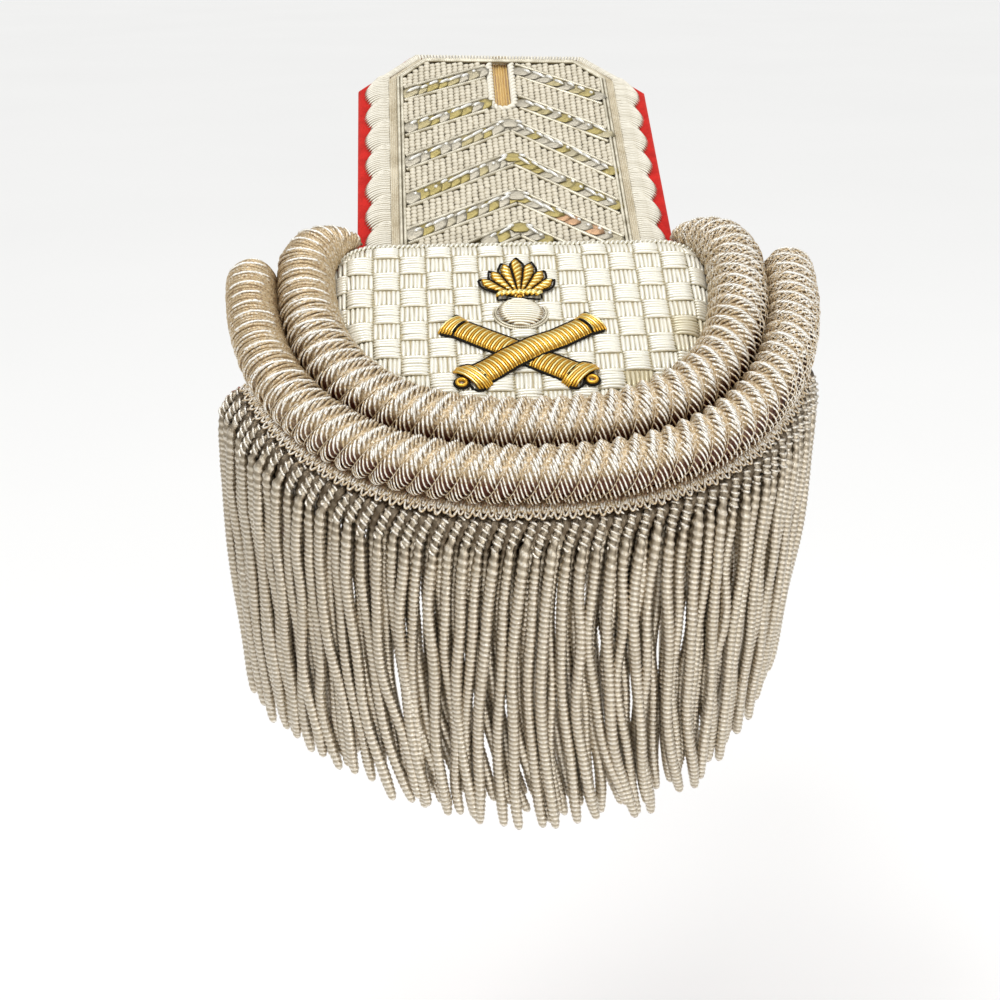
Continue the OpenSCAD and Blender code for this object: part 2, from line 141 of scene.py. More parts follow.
# Satin edge. Ivory rayon floss stitched side by side over a card edge, in scallops down both
# sides and straight round the neck end. Each thread bows as it goes over the card.
STRAP_HALF_W, STRAP_L, SKEW = 33.2, 72.8, 0.05
CORNER_W, CORNER_L = 12.2, 13.8
# A lace band's edge: its half width, its end's height, and how far it is inside the cut corner
SATIN_OUT, SATIN_IN = (28.7, STRAP_L - 0.3, 1.3), (26.0, STRAP_L - 2.8, 3.5)
SCALLOP_PITCH, SCALLOP_OUT, SCALLOPS = 8.8, 3.1, 7
# Where a scallop's arc starts, as a share of half a turn, how much of one it spans, and how far
# its threads start under the braid, rise at both ends, and fan down by the last of them
ARC_START, ARC_SPAN, TUCKED, START_UP, END_UP, FAN = 0.03, 0.8, 0.6, 1.1, 0.4, 2.0
STRAP_FOOT_V, TOP_SPREAD = 0.4, 1.3
FLOSS_PITCH, FLOSS_R, FLOSS_RISE = 0.58, 0.31, 0.8
SIDE_BOW, CORNER_BOW, FLOSS_LIFT = 0.6, 0.2, 0.1
FLOSS_LIGHT, FLOSS_DARK = "#F3EEDF", "#A89C7C"
rng = np.random.default_rng(7)


def skewed(points):
    """The strap and its lace fall away a little to the right."""
    points = np.array(points, float)
    points[..., 1] -= SKEW * points[..., 0] * np.maximum(0, points[..., 1]) / STRAP_L
    return points


def raised(points, height):
    """Points in plan, with a height over the bench."""
    points = np.asarray(points, float)
    return np.concatenate([points, np.broadcast_to(height, points.shape[:-1])[..., None]], -1)


def unit(vectors):
    """Vectors brought to a length of one."""
    return vectors / np.linalg.norm(vectors, axis=-1, keepdims=True)


def walked_to(points):
    """How far along its line each point is."""
    return np.r_[0, np.cumsum(np.linalg.norm(np.diff(points, axis=0), axis=1))]


def read_at(places, marks, rows):
    """What the rows at the marks come to at places between them."""
    return np.stack([np.interp(places, marks, column) for column in np.transpose(rows)], -1)


def along(points, share):
    """Points at given shares of a line's length."""
    walked = walked_to(points)
    return read_at(np.asarray(share) * walked[-1], walked, points)


def band_corners(band):
    """Half of a lace band's line: the height of its side corner and the x of its top one."""
    half_w, top, inset = band
    normal = unit(np.array([CORNER_L, CORNER_W]))
    reach = normal @ (STRAP_HALF_W, STRAP_L - CORNER_L) - inset
    return (reach - normal[0] * half_w) / normal[1], (reach - normal[1] * top) / normal[0]


def lay_wires(bm, lines, radius, sides=6, lead=0, up=(0, 0, 1), flat=1.0, tint=0.5, shut=True):
    """Adds wires to a mesh. Each is a grid rolled round its own line of centres. The radius is a
    number, or one for each place on a line, and shut brings it to 0 at both ends; or it is an
    array for the wires, their rings and sides. lead is the rings that one turn climbs, as the
    turns of a coil do. Their UV is in millimetres, and tint is a number for the finish."""
    lines = np.array(lines, float)
    lines = lines.reshape(-1, *lines.shape[-2:])
    wires, rings = lines.shape[:2]
    if np.ndim(radius) < 2:
        radius = np.array(np.broadcast_to(radius, rings), float)[:, None]
        if shut:
            radius[[0, -1]] = 0
    sheet = bmesh.new()
    sheet.loops.layers.uv.new("wire")
    sheet.verts.layers.float.new("tint")
    spread = Matrix.Diagonal((rings - 1, sides, 1, 1)) @ Matrix.Translation((0.5, 0.5, 0))
    bmesh.ops.create_grid(sheet, x_segments=rings - 1, y_segments=sides, size=0.5, matrix=spread)
    mesh = bpy.data.meshes.new("wires")
    sheet.to_mesh(mesh)
    sheet.free()
    holder = bpy.data.objects.new("wires", mesh)
    bpy.context.scene.collection.objects.link(holder)
    array = holder.modifiers.new("one for each line", "ARRAY")
    array.use_relative_offset, array.use_constant_offset = False, True
    array.constant_offset_displace, array.count = (0, 0, 1), wires
    laid = bpy.data.meshes.new_from_object(holder.evaluated_get(bpy.context.evaluated_depsgraph_get()))
    bpy.data.objects.remove(holder)
    grid = np.zeros(len(laid.vertices) * 3, np.float32)
    laid.vertices.foreach_get("co", grid)
    ring, side, wire = np.rint(grid.reshape(-1, 3)).astype(int).T

    tangent = np.gradient(lines, axis=1)
    across = unit(np.cross(tangent, np.broadcast_to(up, lines.shape)))
    top = unit(np.cross(across, tangent))
    place = np.clip(ring + lead * side / sides, 0, rings - 1)
    low = np.minimum(place.astype(int), rings - 2)
    part = (place - low)[:, None]
    centre, across, top = [a[wire, low] * (1 - part) + a[wire, low + 1] * part for a in (lines, across, top)]
    radius, tint = [np.broadcast_to(a, (wires, rings, sides + 1))[wire, ring, side] for a in (radius, tint)]
    turn = (2 * pi * side / sides)[:, None]
    spots = centre + radius[:, None] * (np.cos(turn) * across + flat * np.sin(turn) * top)
    laid.vertices.foreach_set("co", spots.astype(np.float32).ravel())
    laid.attributes["tint"].data.foreach_set("value", tint.astype(np.float32))
    walked = np.cumsum(np.linalg.norm(tangent, axis=-1), axis=1)[wire, low]
    girth = float(np.max(radius)) * 2 * pi
    corner = np.zeros(len(laid.loops), np.int32)
    laid.loops.foreach_get("vertex_index", corner)
    uv = np.stack([walked, girth * side / sides], -1)[corner]
    laid.uv_layers["wire"].data.foreach_set("uv", uv.astype(np.float32).ravel())
    one = bmesh.new()
    one.from_mesh(laid)
    bmesh.ops.remove_doubles(one, verts=one.verts, dist=0.0005)
    one.to_mesh(laid)
    one.free()
    bm.from_mesh(laid)
    bpy.data.meshes.remove(laid)


def lit_side(sides, low):
    """A wire's painted light and shade round its girth: 1 on its lit upper side, and low on its lower half,
    where it lies on its neighbours.
    """
    return low + (1 - low) * np.clip(np.sin(2 * pi * np.arange(sides + 1) / sides), 0, 1) ** 0.6


def floss_nodes(node, place, uv):
    """Every thread is a shade of its own, with painted shade on its lower side where it lies on its
    neighbours, and its filaments run along it.
    """
    tint = node("Attribute", attribute_name="tint")
    filaments = node("Mapping", {"Vector": uv, "Scale": (0.6, 9.0, 1.0)})
    streak = node("TexNoise", {"Vector": filaments, "Scale": 1.0, "Detail": 2.0})
    shade = node("Math", {0: tint, 1: streak}, operation="MULTIPLY")
    return {"Base Color": shaded(node, shade, 0.0, 0.45, FLOSS_DARK, FLOSS_LIGHT),
            "Normal": node("Bump", {"Height": streak, "Strength": 0.25, "Distance": 0.0001})}


floss = finish_named("rayon floss", {"Roughness": 0.5, "Sheen Weight": 0.2}, floss_nodes)
out_side_v, out_top_x = band_corners(SATIN_OUT)
in_side_v, in_top_x = band_corners(SATIN_IN)
# Each thread of one side: x and v of its inner end and of its outer one, its bow and its lift
side_threads = []
per_scallop = round(SCALLOP_PITCH / FLOSS_PITCH)
for scallop, k in np.ndindex(SCALLOPS, per_scallop):
    f = (k + 0.5) / per_scallop
    v = out_side_v - (scallop + f) * SCALLOP_PITCH
    if v > STRAP_FOOT_V:
        stand = SCALLOP_OUT * sin(pi * (ARC_START + ARC_SPAN * f))
        side_threads.append([SATIN_IN[0] - TUCKED, v + START_UP, SATIN_OUT[0] + stand, v + END_UP - FAN * f,
                             SIDE_BOW, FLOSS_LIFT * f])
corner_count = round(np.hypot(out_side_v - SATIN_OUT[1], out_top_x - SATIN_OUT[0]) / FLOSS_PITCH)
for share in (np.arange(corner_count) + 0.5) / corner_count:
    side_threads.append([*along([(SATIN_IN[0], in_side_v + TUCKED), (in_top_x, SATIN_IN[1])], share),
                         *along([(SATIN_OUT[0], out_side_v), (out_top_x, SATIN_OUT[1])], share),
                         CORNER_BOW, FLOSS_LIFT])
top_count = round(2 * out_top_x / (TOP_SPREAD * FLOSS_PITCH))
top_share = (np.arange(top_count) + 0.5) / top_count
top_threads = np.c_[along([(-in_top_x, SATIN_IN[1]), (in_top_x, SATIN_IN[1])], top_share),
                    along([(-out_top_x, SATIN_OUT[1]), (out_top_x, SATIN_OUT[1])], top_share),
                    np.tile([0, FLOSS_LIFT], (top_count, 1))]
threads = np.concatenate([side_threads, side_threads * np.array([-1, 1, -1, 1, 1, 1]), top_threads])
starts, ends, bow, lift = threads[:, None, :2], threads[:, None, 2:4], threads[:, 4:5], threads[:, 5:]
step = np.linspace(0, 1, 8)
laid = starts + (ends - starts) * step[:, None]
laid[..., 1] += bow * np.sin(pi * step) + rng.normal(0, 0.03, (len(threads), 1))
height = CLOTH_T + 0.05 + lift + FLOSS_RISE * np.sin(pi * (0.04 + 0.93 * step)) ** 0.6
satin = bmesh.new()
lay_wires(satin, skewed(raised(laid, height)), FLOSS_R * np.array([0, 1, 1, 1, 1, 1, 0.9, 0]),
          tint=rng.uniform(0.7, 1, (len(threads), 1, 1)) * lit_side(6, 0.0))
edge = on_board("satin_edge", satin, floss)
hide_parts("scalloped_edge")

# Braid and purl border. A flat tan braid, a row of soft cords side by side, is sewn inside the
# satin edge, and a fine coiled silver wire, called purl, is couched along its inner side.
BORDER_IN, PURL_IN = (24.0, STRAP_L - 3.3, 4.8), (23.05, STRAP_L - 4.0, 5.4)
BRAID_CORDS, BRAID_R, BRAID_TOP = 5, 0.2, CLOTH_T + 0.93
YARN_MM, DUST_MM, TARNISH_MM = 0.35, 6.0, 3.0
BRAID_LIGHT, BRAID_DARK = "#E2D8C0", "#B9AB8C"
PURL_LIGHT, PURL_DARK = "#ECE5D0", "#7E7150"
PURL_TURN, BORDER_PURL_R = 0.45, 0.45


def evenly(points, step):
    """Points at an even step along a line."""
    return along(points, np.linspace(0, 1, max(3, round(walked_to(points)[-1] / step) + 1)))


def band_line(outer, inner, share, height, step):
    """A line along a lace band, at a share of the way across it, from pad to neck and back."""
    band = tuple(a + (b - a) * share for a, b in zip(outer, inner))
    side_v, top_x = band_corners(band)
    half = [(-band[0], 0.2), (-band[0], side_v), (-top_x, band[1])]
    return raised(evenly(skewed(half + [(-x, v) for x, v in reversed(half)]), step), height)


def refinish(node, finish):
    """Gives a CAD node, whose shape is right, a better finish."""
    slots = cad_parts[node].data.materials
    slots.clear()
    slots.append(finish)


def braid_nodes(node, place, uv):
    """Soft spun cotton: fine slanting yarn lines and a slightly dusty, uneven colour."""
    yarn = node("TexNoise", {"Vector": place, "Scale": 1000 / YARN_MM, "Detail": 4.0})
    dust = node("TexNoise", {"Vector": place, "Scale": 1000 / DUST_MM, "Detail": 2.0})
    both = node("Math", {0: yarn, 1: dust})
    return {"Base Color": shaded(node, both, 0.75, 1.2, BRAID_DARK, BRAID_LIGHT),
            "Normal": node("Bump", {"Height": yarn, "Strength": 0.5, "Distance": 0.0002})}


def purl_nodes(node, place, uv):
    """Silver-plated copper wire: bright on the crests, olive-tan tarnish down between turns, and painted
    shade on the lower side of each turn.
    """
    depth = node("Attribute", attribute_name="tint")
    spots = node("TexNoise", {"Vector": place, "Scale": 1000 / TARNISH_MM, "Detail": 3.0})
    tarnish_and_shade = node("Math", {0: depth, 1: spots}, operation="MULTIPLY")
    return {"Base Color": shaded(node, tarnish_and_shade, 0.05, 0.5, PURL_DARK, PURL_LIGHT),
            "Roughness": node("MapRange", {"Value": spots, "To Min": 0.25, "To Max": 0.45})}


def lay_purl(bm, line, radius):
    """A couched line of purl: two rings to a turn, so that every turn stands out as a bead."""
    beads = evenly(line, PURL_TURN / 2)
    crest = np.arange(len(beads)) % 2
    # Lighter on each bead's crest, and painted shade on its lower side
    lay_wires(bm, beads, radius * np.where(crest == 1, 1.0, 0.82),
              tint=(0.6 + 0.4 * crest)[:, None] * lit_side(6, 0.2))


cotton_braid = finish_named("spun cotton braid", {"Roughness": 0.8, "Sheen Weight": 0.15}, braid_nodes)
braid = bmesh.new()
for k in range(BRAID_CORDS):
    lay_wires(braid, band_line(SATIN_IN, BORDER_IN, (k + 0.5) / BRAID_CORDS, BRAID_TOP, 1.2), BRAID_R)
on_board("tan_braid_cords", braid, cotton_braid)
refinish("flat_border", cotton_braid)

silver_purl = finish_named("tarnished and shaded silver purl", {"Metallic": 0.35}, purl_nodes)
purl = bmesh.new()
for share, lift in ((0.1, 1.35), (0.95, 1.45)):
    lay_purl(purl, band_line(BORDER_IN, PURL_IN, share, CLOTH_T + lift, 0.5), BORDER_PURL_R)
border = on_board("purl_lines", purl, silver_purl)
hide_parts("purl_border")

# Woven field. An open ivory lace: twisted cotton cords run up the strap side by side over a
# tan ground, and each turn of a cord shows as a leaning grain with a dark hole beside it.
FIELD_W, FIELD_EDGE, CORD_PITCH, GRAIN_PITCH = 22.9, 0.4, 1.32, 1.22
# How far the field's end is below the strap's, and its grains keep from the corner purl, the
# slot's end and a chevron
FIELD_END, CORNER_GAP, SLOT_GAP, CHEVRON_GAP = 4.0, 0.7, 3.0, 0.2
LACE_TOP, GRAIN_R, GRAIN_FLAT = CLOTH_T + 0.85, 0.8, 0.6
# A grain from its upper end: x, v and height of its line, how thick it is there, and its tint, which paints
# its ends dark as shade
GRAIN = np.array([(-0.42, 0.68, -0.2, 0, 0), (-0.26, 0.44, 0.2, 0.75, 0.8), (0, 0, 0.44, 1, 1),
                  (0.26, -0.44, 0.4, 0.75, 1), (0.42, -0.68, 0.15, 0, 0.3)])
SCRIM_MM, HAIR_MM = 0.5, 0.4
GROUND_LIGHT, GROUND_DARK = "#B6A985", "#887C5E"
LACE_LIGHT, LACE_DARK = "#E6DECA", "#857857"
SLOT_HALF_W, SLOT_END_V, SLOT_TOP_V, SLOT_ROOM = 1.85, 53.0, 68.5, 3.4
CHEVRON_1_V, CHEVRON_PITCH, CHEVRON_W, CHEVRON_POINT_X = 70.0, 12.2, 5.8, 1.0
CHEVRON_DROPS = np.array([-13.8, 0, -17.0])
# How far each hand-sewn chevron strays: its left end, its point, its right end
CHEVRON_STRAY = [(2.8, -0.4, 3.1), (1.4, -0.6, 1), (1.1, 1.1, -0.6), (0.2, 0.7, -0.5), (0.3, -0.6, -0.7),
                 (0, 0.7, 0)]


def chevron_v(index, x):
    """Height of a chevron's upper edge at x."""
    edge = CHEVRON_1_V - index * CHEVRON_PITCH + CHEVRON_DROPS + CHEVRON_STRAY[index]
    return np.interp(x, [-FIELD_W, CHEVRON_POINT_X, FIELD_W], edge)


def ground_nodes(node, place, uv):
    """Loosely woven scrim, seen only as the dark between the cords."""
    weave = node("TexNoise", {"Vector": place, "Scale": 1000 / SCRIM_MM, "Detail": 3.0})
    return {"Base Color": node("Mix", {0: weave, 6: GROUND_DARK, 7: GROUND_LIGHT}, data_type="RGBA"),
            "Normal": node("Bump", {"Height": weave, "Strength": 0.6, "Distance": 0.0002})}


def lace_nodes(node, place, uv):
    """Twisted cotton: cream on its crests, and painted shade makes it tan where the cords lie together and
    dark at each grain's ends.
    """
    tint = node("Attribute", attribute_name="tint")
    hairs = node("TexNoise", {"Vector": place, "Scale": 1000 / HAIR_MM, "Detail": 3.0})
    return {"Base Color": node("Mix", {0: tint, 6: LACE_DARK, 7: LACE_LIGHT}, data_type="RGBA"),
            "Normal": node("Bump", {"Height": hairs, "Strength": 0.4, "Distance": 0.0001})}


scrim = finish_named("tan cotton scrim", {"Roughness": 0.9}, ground_nodes)
lace_cord = finish_named("twisted lace cord", {"Roughness": 0.7, "Sheen Weight": 0.1}, lace_nodes)
refinish("woven_panel", scrim)

side_v, top_x = band_corners(PURL_IN)
half = FIELD_W - FIELD_EDGE
xs = np.linspace(-half, half, round(2 * half / CORD_PITCH) + 1)
vs = np.arange(FIELD_EDGE, STRAP_L - FIELD_END - FIELD_EDGE, GRAIN_PITCH)
x, v = [a.ravel() for a in np.meshgrid(xs, vs, indexing="ij")]
v = v + (np.rint((x - xs[0]) / CORD_PITCH).astype(int) % 3) * GRAIN_PITCH / 3
from_side = np.clip((PURL_IN[0] - np.abs(x)) / (PURL_IN[0] - top_x), 0, 1)
slope_v = side_v + (STRAP_L - FIELD_END - side_v) * from_side
shown = (v < slope_v - CORNER_GAP) & ~((np.abs(x) < SLOT_ROOM) & (v > SLOT_END_V - SLOT_GAP))
skew_v = v - SKEW * x * v / STRAP_L
for index in range(len(CHEVRON_STRAY)):
    upper = chevron_v(index, x)
    shown &= ~((skew_v < upper - CHEVRON_GAP) & (skew_v > upper - CHEVRON_W + CHEVRON_GAP))
x, v = x[shown], v[shown]
grains = raised(np.c_[x, v], LACE_TOP)[:, None] + GRAIN[:, :3]
grains[..., :2] += rng.normal(0, 0.05, (len(x), 1, 2))
lace = bmesh.new()
lay_wires(lace, skewed(grains), GRAIN_R * GRAIN[:, 3], flat=GRAIN_FLAT,
          tint=rng.uniform(0.8, 1, (len(x), 1, 1)) * lit_side(6, 0.7) * GRAIN[:, 4:])
on_board("woven_field", lace, lace_cord)

# Chevrons. Two couched lines of purl with a strip of twisted foil between them: flattened
# pieces of silvered and gilded foil that overlap, and where they turn over, an edge painted white as a
# highlight.
FOIL_STEP, FOIL_LENGTH, FOIL_W, FOIL_FLAT, TURNED_R = 2.5, 5.2, 1.75, 0.07, 0.36
POINT_HALF_L, POINT_W, POINT_FLAT, POINT_END_R = 2.6, 1.6, 0.08, 0.34
FOIL_TAPER = np.array([0, 0.9, 1, 0.9, 0])
# How high purl and foil lie over the lace, and how far a piece of foil turns up and aside
PURL_LIFT, TURNED_LIFT, FOIL_TILT, FOIL_TWIST = 0.55, 0.9, 0.3, 0.3
TURNED_REACH, TURNED_SLANT = [0.5, 1.2, 1.6, 2.2], 0.15
# Tints from silver to olive, and the tint of the tan pieces: some of those right of TAN_FROM_X
OLIVE, TAN, TAN_SHARE, TAN_FROM_X, TAN_CHEVRONS = 0.88, 0.95, 0.3, 9, (4, 5)
SPLIT_CHEVRONS, END_GAP, CUT_GAP, FOOT_GAP = (0, 1), 0.3, 0.1, 1.3
FOIL_SILVER, FOIL_OLIVE, FOIL_TAN = "#B4AD9C", "#A6975E", "#C09A76"
CRUMPLE_MM, SHINE_MM = 0.9, 4.0
PURL_R, PURL_INSET = 0.5, 0.45


def left_of(way):
    """Directions in plan, turned a quarter to the left."""
    return np.stack([-way[..., 1], way[..., 0]], -1)


def foil_nodes(node, place, uv):
    """Thin plated foil, crumpled by sewing: silver, washed-out gilt, and a little tan."""
    kind = node("Attribute", attribute_name="tint")
    crumple = node("TexNoise", {"Vector": place, "Scale": 1000 / CRUMPLE_MM, "Detail": 3.0})
    gilded = shaded(node, kind, 0.3, 0.6, FOIL_SILVER, FOIL_OLIVE)
    return {"Base Color": shaded(node, kind, 0.9, 0.92, gilded, FOIL_TAN),
            "Normal": node("Bump", {"Height": crumple, "Strength": 0.5, "Distance": 0.0004})}


def speckled(size, dark, light):
    """The nodes of a plain finish with faint specks of a size in millimetres."""
    def nodes(node, place, uv):
        speck = node("TexNoise", {"Vector": place, "Scale": 1000 / size})
        return {"Base Color": node("Mix", {0: speck, 6: dark, 7: light}, data_type="RGBA")}
    return nodes


foil = finish_named("plated foil", {"Metallic": 0.6, "Roughness": 0.4}, foil_nodes)
# A turned-over fold, painted near white as a highlight, which gives a hard white line
foil_highlight = finish_named("foil edge painted as a highlight", {"Metallic": 0.4, "Roughness": 0.15, "Coat Weight": 0.6},
                           speckled(SHINE_MM, "#E4E0D4", "#FFFFFA"))
t = np.linspace(-1, 1, 5)[:, None]
bulge = 1 - t[:, 0] ** 2
for index in range(len(CHEVRON_STRAY)):
    purl, flats, edges = bmesh.new(), bmesh.new(), bmesh.new()
    left, right = CHEVRON_POINT_X, CHEVRON_POINT_X
    if index in SPLIT_CHEVRONS:
        left, right = -SLOT_ROOM - CUT_GAP, SLOT_ROOM + CUT_GAP
    for start, stop in ((-FIELD_W + END_GAP, left), (right, FIELD_W - END_GAP)):
        xs = np.linspace(start, stop, 60)
        clear = np.interp(np.abs(xs), [top_x, PURL_IN[0]], [STRAP_L - 4.2, side_v - 0.4])
        for drop in (PURL_INSET, CHEVRON_W - PURL_INSET):
            line = np.c_[xs, chevron_v(index, xs) - drop]
            line = line[(line[:, 1] > FOOT_GAP) & (line[:, 1] < clear)]
            if len(line) > 4:
                lay_purl(purl, raised(line, LACE_TOP + PURL_LIFT), PURL_R)
        lie = np.c_[xs, chevron_v(index, xs) - CHEVRON_W / 2]
        lie = lie[(lie[:, 1] > FOOT_GAP + 0.6) & (lie[:, 1] < clear - 0.6)]
        if len(lie) < 4:
            continue
        pieces = int(np.linalg.norm(lie[-1] - lie[0]) / FOIL_STEP)
        middles = along(lie, (np.arange(pieces) + 0.5) / pieces)
        way = unit(lie[-1] - lie[0])
        aside = left_of(way)
        stretch = rng.uniform(0.8, 1.3, (pieces, 1, 1))
        flat_line = middles[:, None] + way * t * stretch * FOIL_LENGTH / 2 + t * aside * FOIL_TWIST
        height = LACE_TOP + PURL_LIFT + 0.1 * bulge + FOIL_TILT * t[:, 0] + rng.uniform(0, 0.15, (pieces, 1))
        kinds = rng.uniform(0, OLIVE, (pieces, 1, 1))
        tanned = rng.random(kinds.shape) < TAN_SHARE
        tanned &= (index in TAN_CHEVRONS) & (middles[:, :1, None] > TAN_FROM_X)
        lay_wires(flats, raised(flat_line, height), FOIL_W * FOIL_TAPER, sides=8, flat=FOIL_FLAT,
                  tint=np.where(tanned, TAN, kinds))
        turns = (middles[:-1] + middles[1:]) / 2 if len(middles) > 1 else middles
        reach = rng.choice(TURNED_REACH, (len(turns), 1, 1))
        shift = rng.uniform(0.2, 1.0, (len(turns), 1, 1))
        slant = TURNED_SLANT * np.sign(way[1])
        edge_line = turns[:, None] + t * reach * (way + aside * slant) + aside * shift
        lay_wires(edges, raised(edge_line, LACE_TOP + TURNED_LIFT + 0.15 * bulge), TURNED_R)
    if index not in SPLIT_CHEVRONS:
        # One rounder piece lies over the point, with its two ends turned over
        point = np.array([CHEVRON_POINT_X, chevron_v(index, CHEVRON_POINT_X) - CHEVRON_W / 2 - 0.1])
        lay_wires(flats, raised(point + t * (POINT_HALF_L, 0), LACE_TOP + TURNED_LIFT + 0.1 * bulge),
                  POINT_W * FOIL_TAPER, sides=8, flat=POINT_FLAT, tint=rng.uniform(0, OLIVE))
        for side in (-1, 1):
            end = point + (side * 2.0, 0.3) + t * (0.9, -side * 0.35)
            lay_wires(edges, raised(end, LACE_TOP + TURNED_LIFT + 0.3), POINT_END_R)
    name = f"chevron_{index + 1}"
    lines = on_board(f"{name}_purl", purl, silver_purl)
    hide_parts(name)
    on_board(f"{name}_foil", flats, foil)
    on_board(f"{name}_foil_edges", edges, foil_highlight)

# Button slot. It is cut through the board, lined with two folded lips of gold-brown cloth, and
# bound by a white cord of two plies, open at the neck end.
LINING_LIGHT, LINING_DARK, LIP_PLEAT = "#EBC776", "#BC8E3C", 0.62
# A wave texture of this scale has one band to a unit
WAVE = 0.314
SLOT_CORD_X, SLOT_CORD_Z, PLY_R, PLY_OFF, PLY_TURN, PLY_STEP = 2.6, CLOTH_T + 0.9, 0.46, 0.42, 2.6, 0.22
FOLDS, FOLD_R, FOLD_Z, FOLD_GAP, LIP_ROUND = 5, 0.44, CLOTH_T - 0.2, 0.3, 0.12


def lining_nodes(node, place, uv):
    """Ribbed silk: narrow folds run along the slot, with painted shade in their valleys."""
    fold = node("TexWave", {"Vector": place, "Scale": 1000 * WAVE / LIP_PLEAT, "Distortion": 1.5,
                            "Detail": 2.0, "Detail Scale": 2.0}, bands_direction="X")
    return {"Base Color": node("Mix", {0: fold, 6: LINING_DARK, 7: LINING_LIGHT}, data_type="RGBA"),
            "Normal": node("Bump", {"Height": fold, "Strength": 0.7, "Distance": 0.0003})}


silk = finish_named("gold-brown silk", {"Roughness": 0.5, "Sheen Weight": 0.4}, lining_nodes)
lips = solid_of("slot_lining")
round_edges(lips, 40, LIP_ROUND, 2)
lips = on_board("slot_lips", lips, silk, tilted=False)
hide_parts("slot_lining")

folds = bmesh.new()
for x in np.linspace(-SLOT_HALF_W + FOLD_GAP, SLOT_HALF_W - FOLD_GAP, FOLDS):
    rows = np.r_[SLOT_END_V - 1.5, np.linspace(SLOT_END_V - 1.3, STRAP_L + 0.1, 10), STRAP_L + 0.2]
    fold = np.c_[x + 0.06 * np.sin(rows * 0.7 + x), rows]
    lay_wires(folds, skewed(raised(fold, FOLD_Z + 0.12 * np.cos(3 * x))), FOLD_R, sides=8)
on_board("slot_folds", folds, silk)

bend = [(SLOT_CORD_X * cos(a), SLOT_END_V + SLOT_CORD_X * sin(a)) for a in np.linspace(pi, 2 * pi, 14)]
route = evenly([(-SLOT_CORD_X, SLOT_TOP_V)] + bend + [(SLOT_CORD_X, SLOT_TOP_V)], PLY_STEP)
way = np.gradient(route, axis=0)
aside = unit(left_of(way))
binding = bmesh.new()
for ply in (0, pi):
    turn = 2 * pi * PLY_STEP * np.arange(len(route)) / PLY_TURN + ply
    ply_line = raised(route + aside * PLY_OFF * np.cos(turn)[:, None], SLOT_CORD_Z + PLY_OFF * np.sin(turn))
    lay_wires(binding, ply_line, PLY_R, sides=7, tint=0.95)
binding = on_board("slot_binding", binding, floss)
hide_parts("slot_cord")

# Padded crescent. Felt layers give it a domed edge. It is covered in basket stitch: blocks of
# six or seven smooth silver passing wires, across and along by turns, tucked under each other.
CRESCENT_A, CRESCENT_B, CRESCENT_V, SQUARENESS = 53.8, 57.4, -9.7, 2.35
INNER_OFFSET, PAD_OFFSET, PAD_TOP_V, PAD_H = -10.75, -16.5, -0.4, 4.7
# How high the felt is at distances inside the pad's outline
PAD_RISE = [(0, 0.1), (0.02, 1.3), (0.5, 2.4), (1.4, 3.4), (2.7, 4.25), (4.4, PAD_H)]
BLOCK_W, BLOCK_V, PASSING_R = 5.3, 4.9, 0.4
# Blocks: wires, share of its width that they fill, share of its length that each reaches from the
# middle, how high they arch, how far they are sunk, how much thicker they are, and their tone
ACROSS, ALONG = (7, 1.04, 0.58, 0.42, 0.0, 0.0, 1.0), (6, 0.98, 0.56, 0.22, 0.05, 0.06, 0.92)
BLOCK_ROWS, BLOCK_COLUMNS, BLOCK_SHIFT, WIRE_PLACES = range(-12, 2), range(-8, 9), (-0.6, 1.2), 7
# Stains: place and reach of each, and how far the plating has browned there
STAINS = [((33.5, -29.5), 5.5, 0.55), ((20.6, -43.5), 2.5, 0.6), ((-35.0, -21.0), 3.0, 0.25)]
PASSING_WHITE, PASSING_SHADE, STAIN = "#F2EFE2", "#D2C6A2", "#A87840"
# The wire's flattened strip is wound closer than this, and is drawn as coarse as it needs to show
WRAP_MM, FELT_MM = 0.3, 0.6


def on_crescent(share, offset=0.0):
    """Points at shares of the crescent's length, left end to right, moved outwards by offset;
    and their outward directions."""
    t = np.linspace(pi, 2 * pi, 721)
    c, s = np.cos(t), np.sin(t)
    base = np.stack([CRESCENT_A * np.sign(c) * abs(c) ** (2 / SQUARENESS),
                     CRESCENT_V + CRESCENT_B * np.sign(s) * abs(s) ** (2 / SQUARENESS)], -1)
    ux, uv = base[:, 0] / CRESCENT_A, (base[:, 1] - CRESCENT_V) / CRESCENT_B
    out = unit(np.stack([np.sign(ux) * abs(ux) ** (SQUARENESS - 1) / CRESCENT_A,
                         np.sign(uv) * abs(uv) ** (SQUARENESS - 1) / CRESCENT_B], -1))
    walked = walked_to(base)
    at = np.clip(np.asarray(share), 0, 1) * walked[-1]
    outward = unit(read_at(at, walked, out))
    return read_at(at, walked, base) + np.asarray(offset)[..., None] * outward, outward


rim_offset = PAD_OFFSET + 1.0
corner_r = PAD_TOP_V - CRESCENT_V
corner_x = CRESCENT_A + rim_offset - corner_r
quarter = np.linspace(0, pi / 2, 12)
pad_rim = np.concatenate([
    on_crescent(np.linspace(0, 1, 160), rim_offset)[0],
    np.c_[corner_x + corner_r * np.cos(quarter), CRESCENT_V + corner_r * np.sin(quarter)],
    np.c_[-corner_x - corner_r * np.sin(quarter), CRESCENT_V + corner_r * np.cos(quarter)]])
pad_rim = evenly(np.r_[pad_rim, pad_rim[:1]], 0.4)


def inset_of(points):
    """How far points lie inside the pad's outline, or below 0 outside it."""
    a, b = pad_rim[:-1], pad_rim[1:]
    gap = np.linalg.norm(points[..., None, :] - a, axis=-1).min(-1)
    x, v = points[..., 0, None], points[..., 1, None]
    crossed = ((a[:, 1] > v) != (b[:, 1] > v)) & (
        x < (b[:, 0] - a[:, 0]) * (v - a[:, 1]) / (b[:, 1] - a[:, 1] + 1e-12) + a[:, 0])
    return np.where(crossed.sum(-1) % 2 == 1, gap, -gap)


